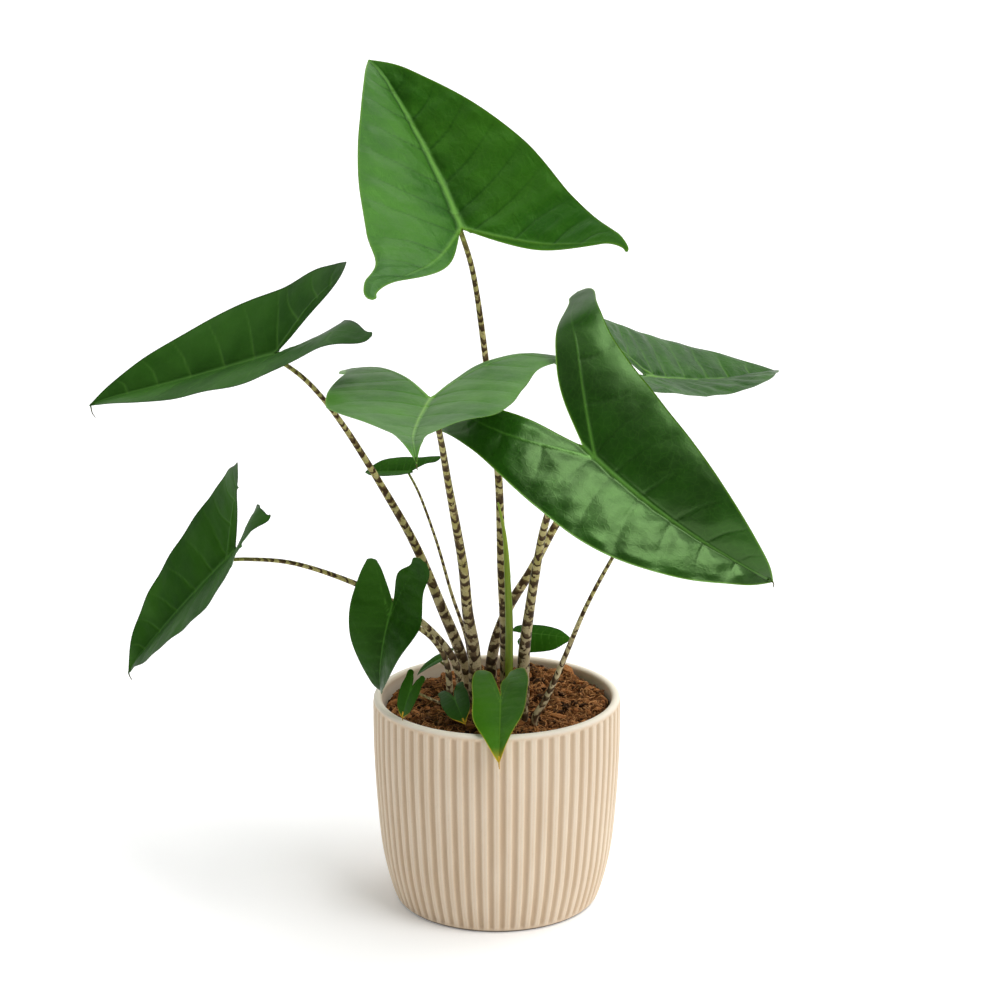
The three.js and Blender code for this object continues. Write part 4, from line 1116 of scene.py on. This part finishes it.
def small_leaf(leaf):
    """the sizes of a small leaf, which share one outline and bend"""
    length = leaf["length"]
    widths = tuple(share * length for share in SMALL_OUTLINE["widths"])
    shape = {key: (SMALL_OUTLINE[key] * length,) * 2 for key in ("reach", "spread", "inner", "blunt")}
    return {**SMALL_BEND, **leaf, **shape, "notch": SMALL_OUTLINE["notch"] * length, "left": widths,
            "right": widths}


for number, leaf in enumerate(LARGE_LEAVES + [small_leaf(item) for item in SMALL_LEAVES], 1):
    leaf = {**PLAIN_STYLE, **leaf, **STYLES.get(leaf["name"], {})}
    build_blade(leaf, number)
    build_stem(leaf, number)
    if leaf["name"] in TIP_STEPS:
        build_tip(leaf)
build_spear()
build_pot()
build_soil()
build_crumbs()
build_fibres()


# ---------------------------------------------------------------- floor, light and camera

FLOOR_REACH = 30000.0
# name, azimuth from the front (-Y) towards +X, elevation, strength and softness, with angles in degrees
LIGHTS = (("key_light", 54, 51, 1.75, 38), ("top_light", 60, 81, 0.70, 26), ("back_light", 130, 42, 0.60, 44))
# the world's brightness in front and behind
WORLD_FRONT = 0.06
WORLD_BACK = 0.80


def build_floor():
    corners = [(x * FLOOR_REACH, y * FLOOR_REACH, 0) for x, y in ((-1, -1), (1, -1), (1, 1), (-1, 1))]
    floor = make_object("floor", np.array(corners), [np.array([[0, 1, 2, 3]])], None, floor_material(), False)


def add_sun(name, azimuth, elevation, strength, softness):
    """a wide soft light"""
    data = bpy.data.lights.new(name, "SUN")
    data.energy = strength
    data.angle = math.radians(softness)
    light = bpy.data.objects.new(name, data)
    light.rotation_euler = (math.radians(90 - elevation), 0, math.radians(azimuth))
    bpy.context.scene.collection.objects.link(light)


def build_world():
    """pale light all round, brighter from the white backdrop behind than from the room in front"""
    world = bpy.data.worlds.new("studio")
    world.use_nodes = True
    nodes, links = world.node_tree.nodes, world.node_tree.links
    background = nodes["Background"]
    background.inputs["Color"].default_value = (1, 1, 1, 1)
    split = nodes.new("ShaderNodeSeparateXYZ")
    links.new(nodes.new("ShaderNodeTexCoord").outputs["Generated"], split.inputs[0])
    fade = nodes.new("ShaderNodeMapRange")
    fade.interpolation_type = "SMOOTHSTEP"
    ends = {"From Min": -0.8, "From Max": 0.6, "To Min": WORLD_FRONT, "To Max": WORLD_BACK}
    for key, value in ends.items():
        fade.inputs[key].default_value = value
    links.new(split.outputs["Y"], fade.inputs["Value"])
    seen = nodes.new("ShaderNodeMath")
    seen.operation = "MAXIMUM"
    links.new(nodes.new("ShaderNodeLightPath").outputs["Is Camera Ray"], seen.inputs[0])
    links.new(fade.outputs["Result"], seen.inputs[1])
    links.new(seen.outputs[0], background.inputs["Strength"])
    bpy.context.scene.world = world


build_floor()
for row in LIGHTS:
    add_sun(*row)
build_world()

camera_data = bpy.data.cameras.new("camera")
camera_data.lens = CAMERA_LENS
camera_data.sensor_width = CAMERA_SENSOR
camera_data.clip_end = CAMERA_FAR
camera = bpy.data.objects.new("camera", camera_data)
camera.location = CAMERA_PLACE
camera.rotation_euler = (math.radians(90 - CAMERA_PITCH_DOWN), 0, 0)
bpy.context.scene.collection.objects.link(camera)
bpy.context.scene.camera = camera
bpy.context.scene.view_settings.view_transform = "Standard"
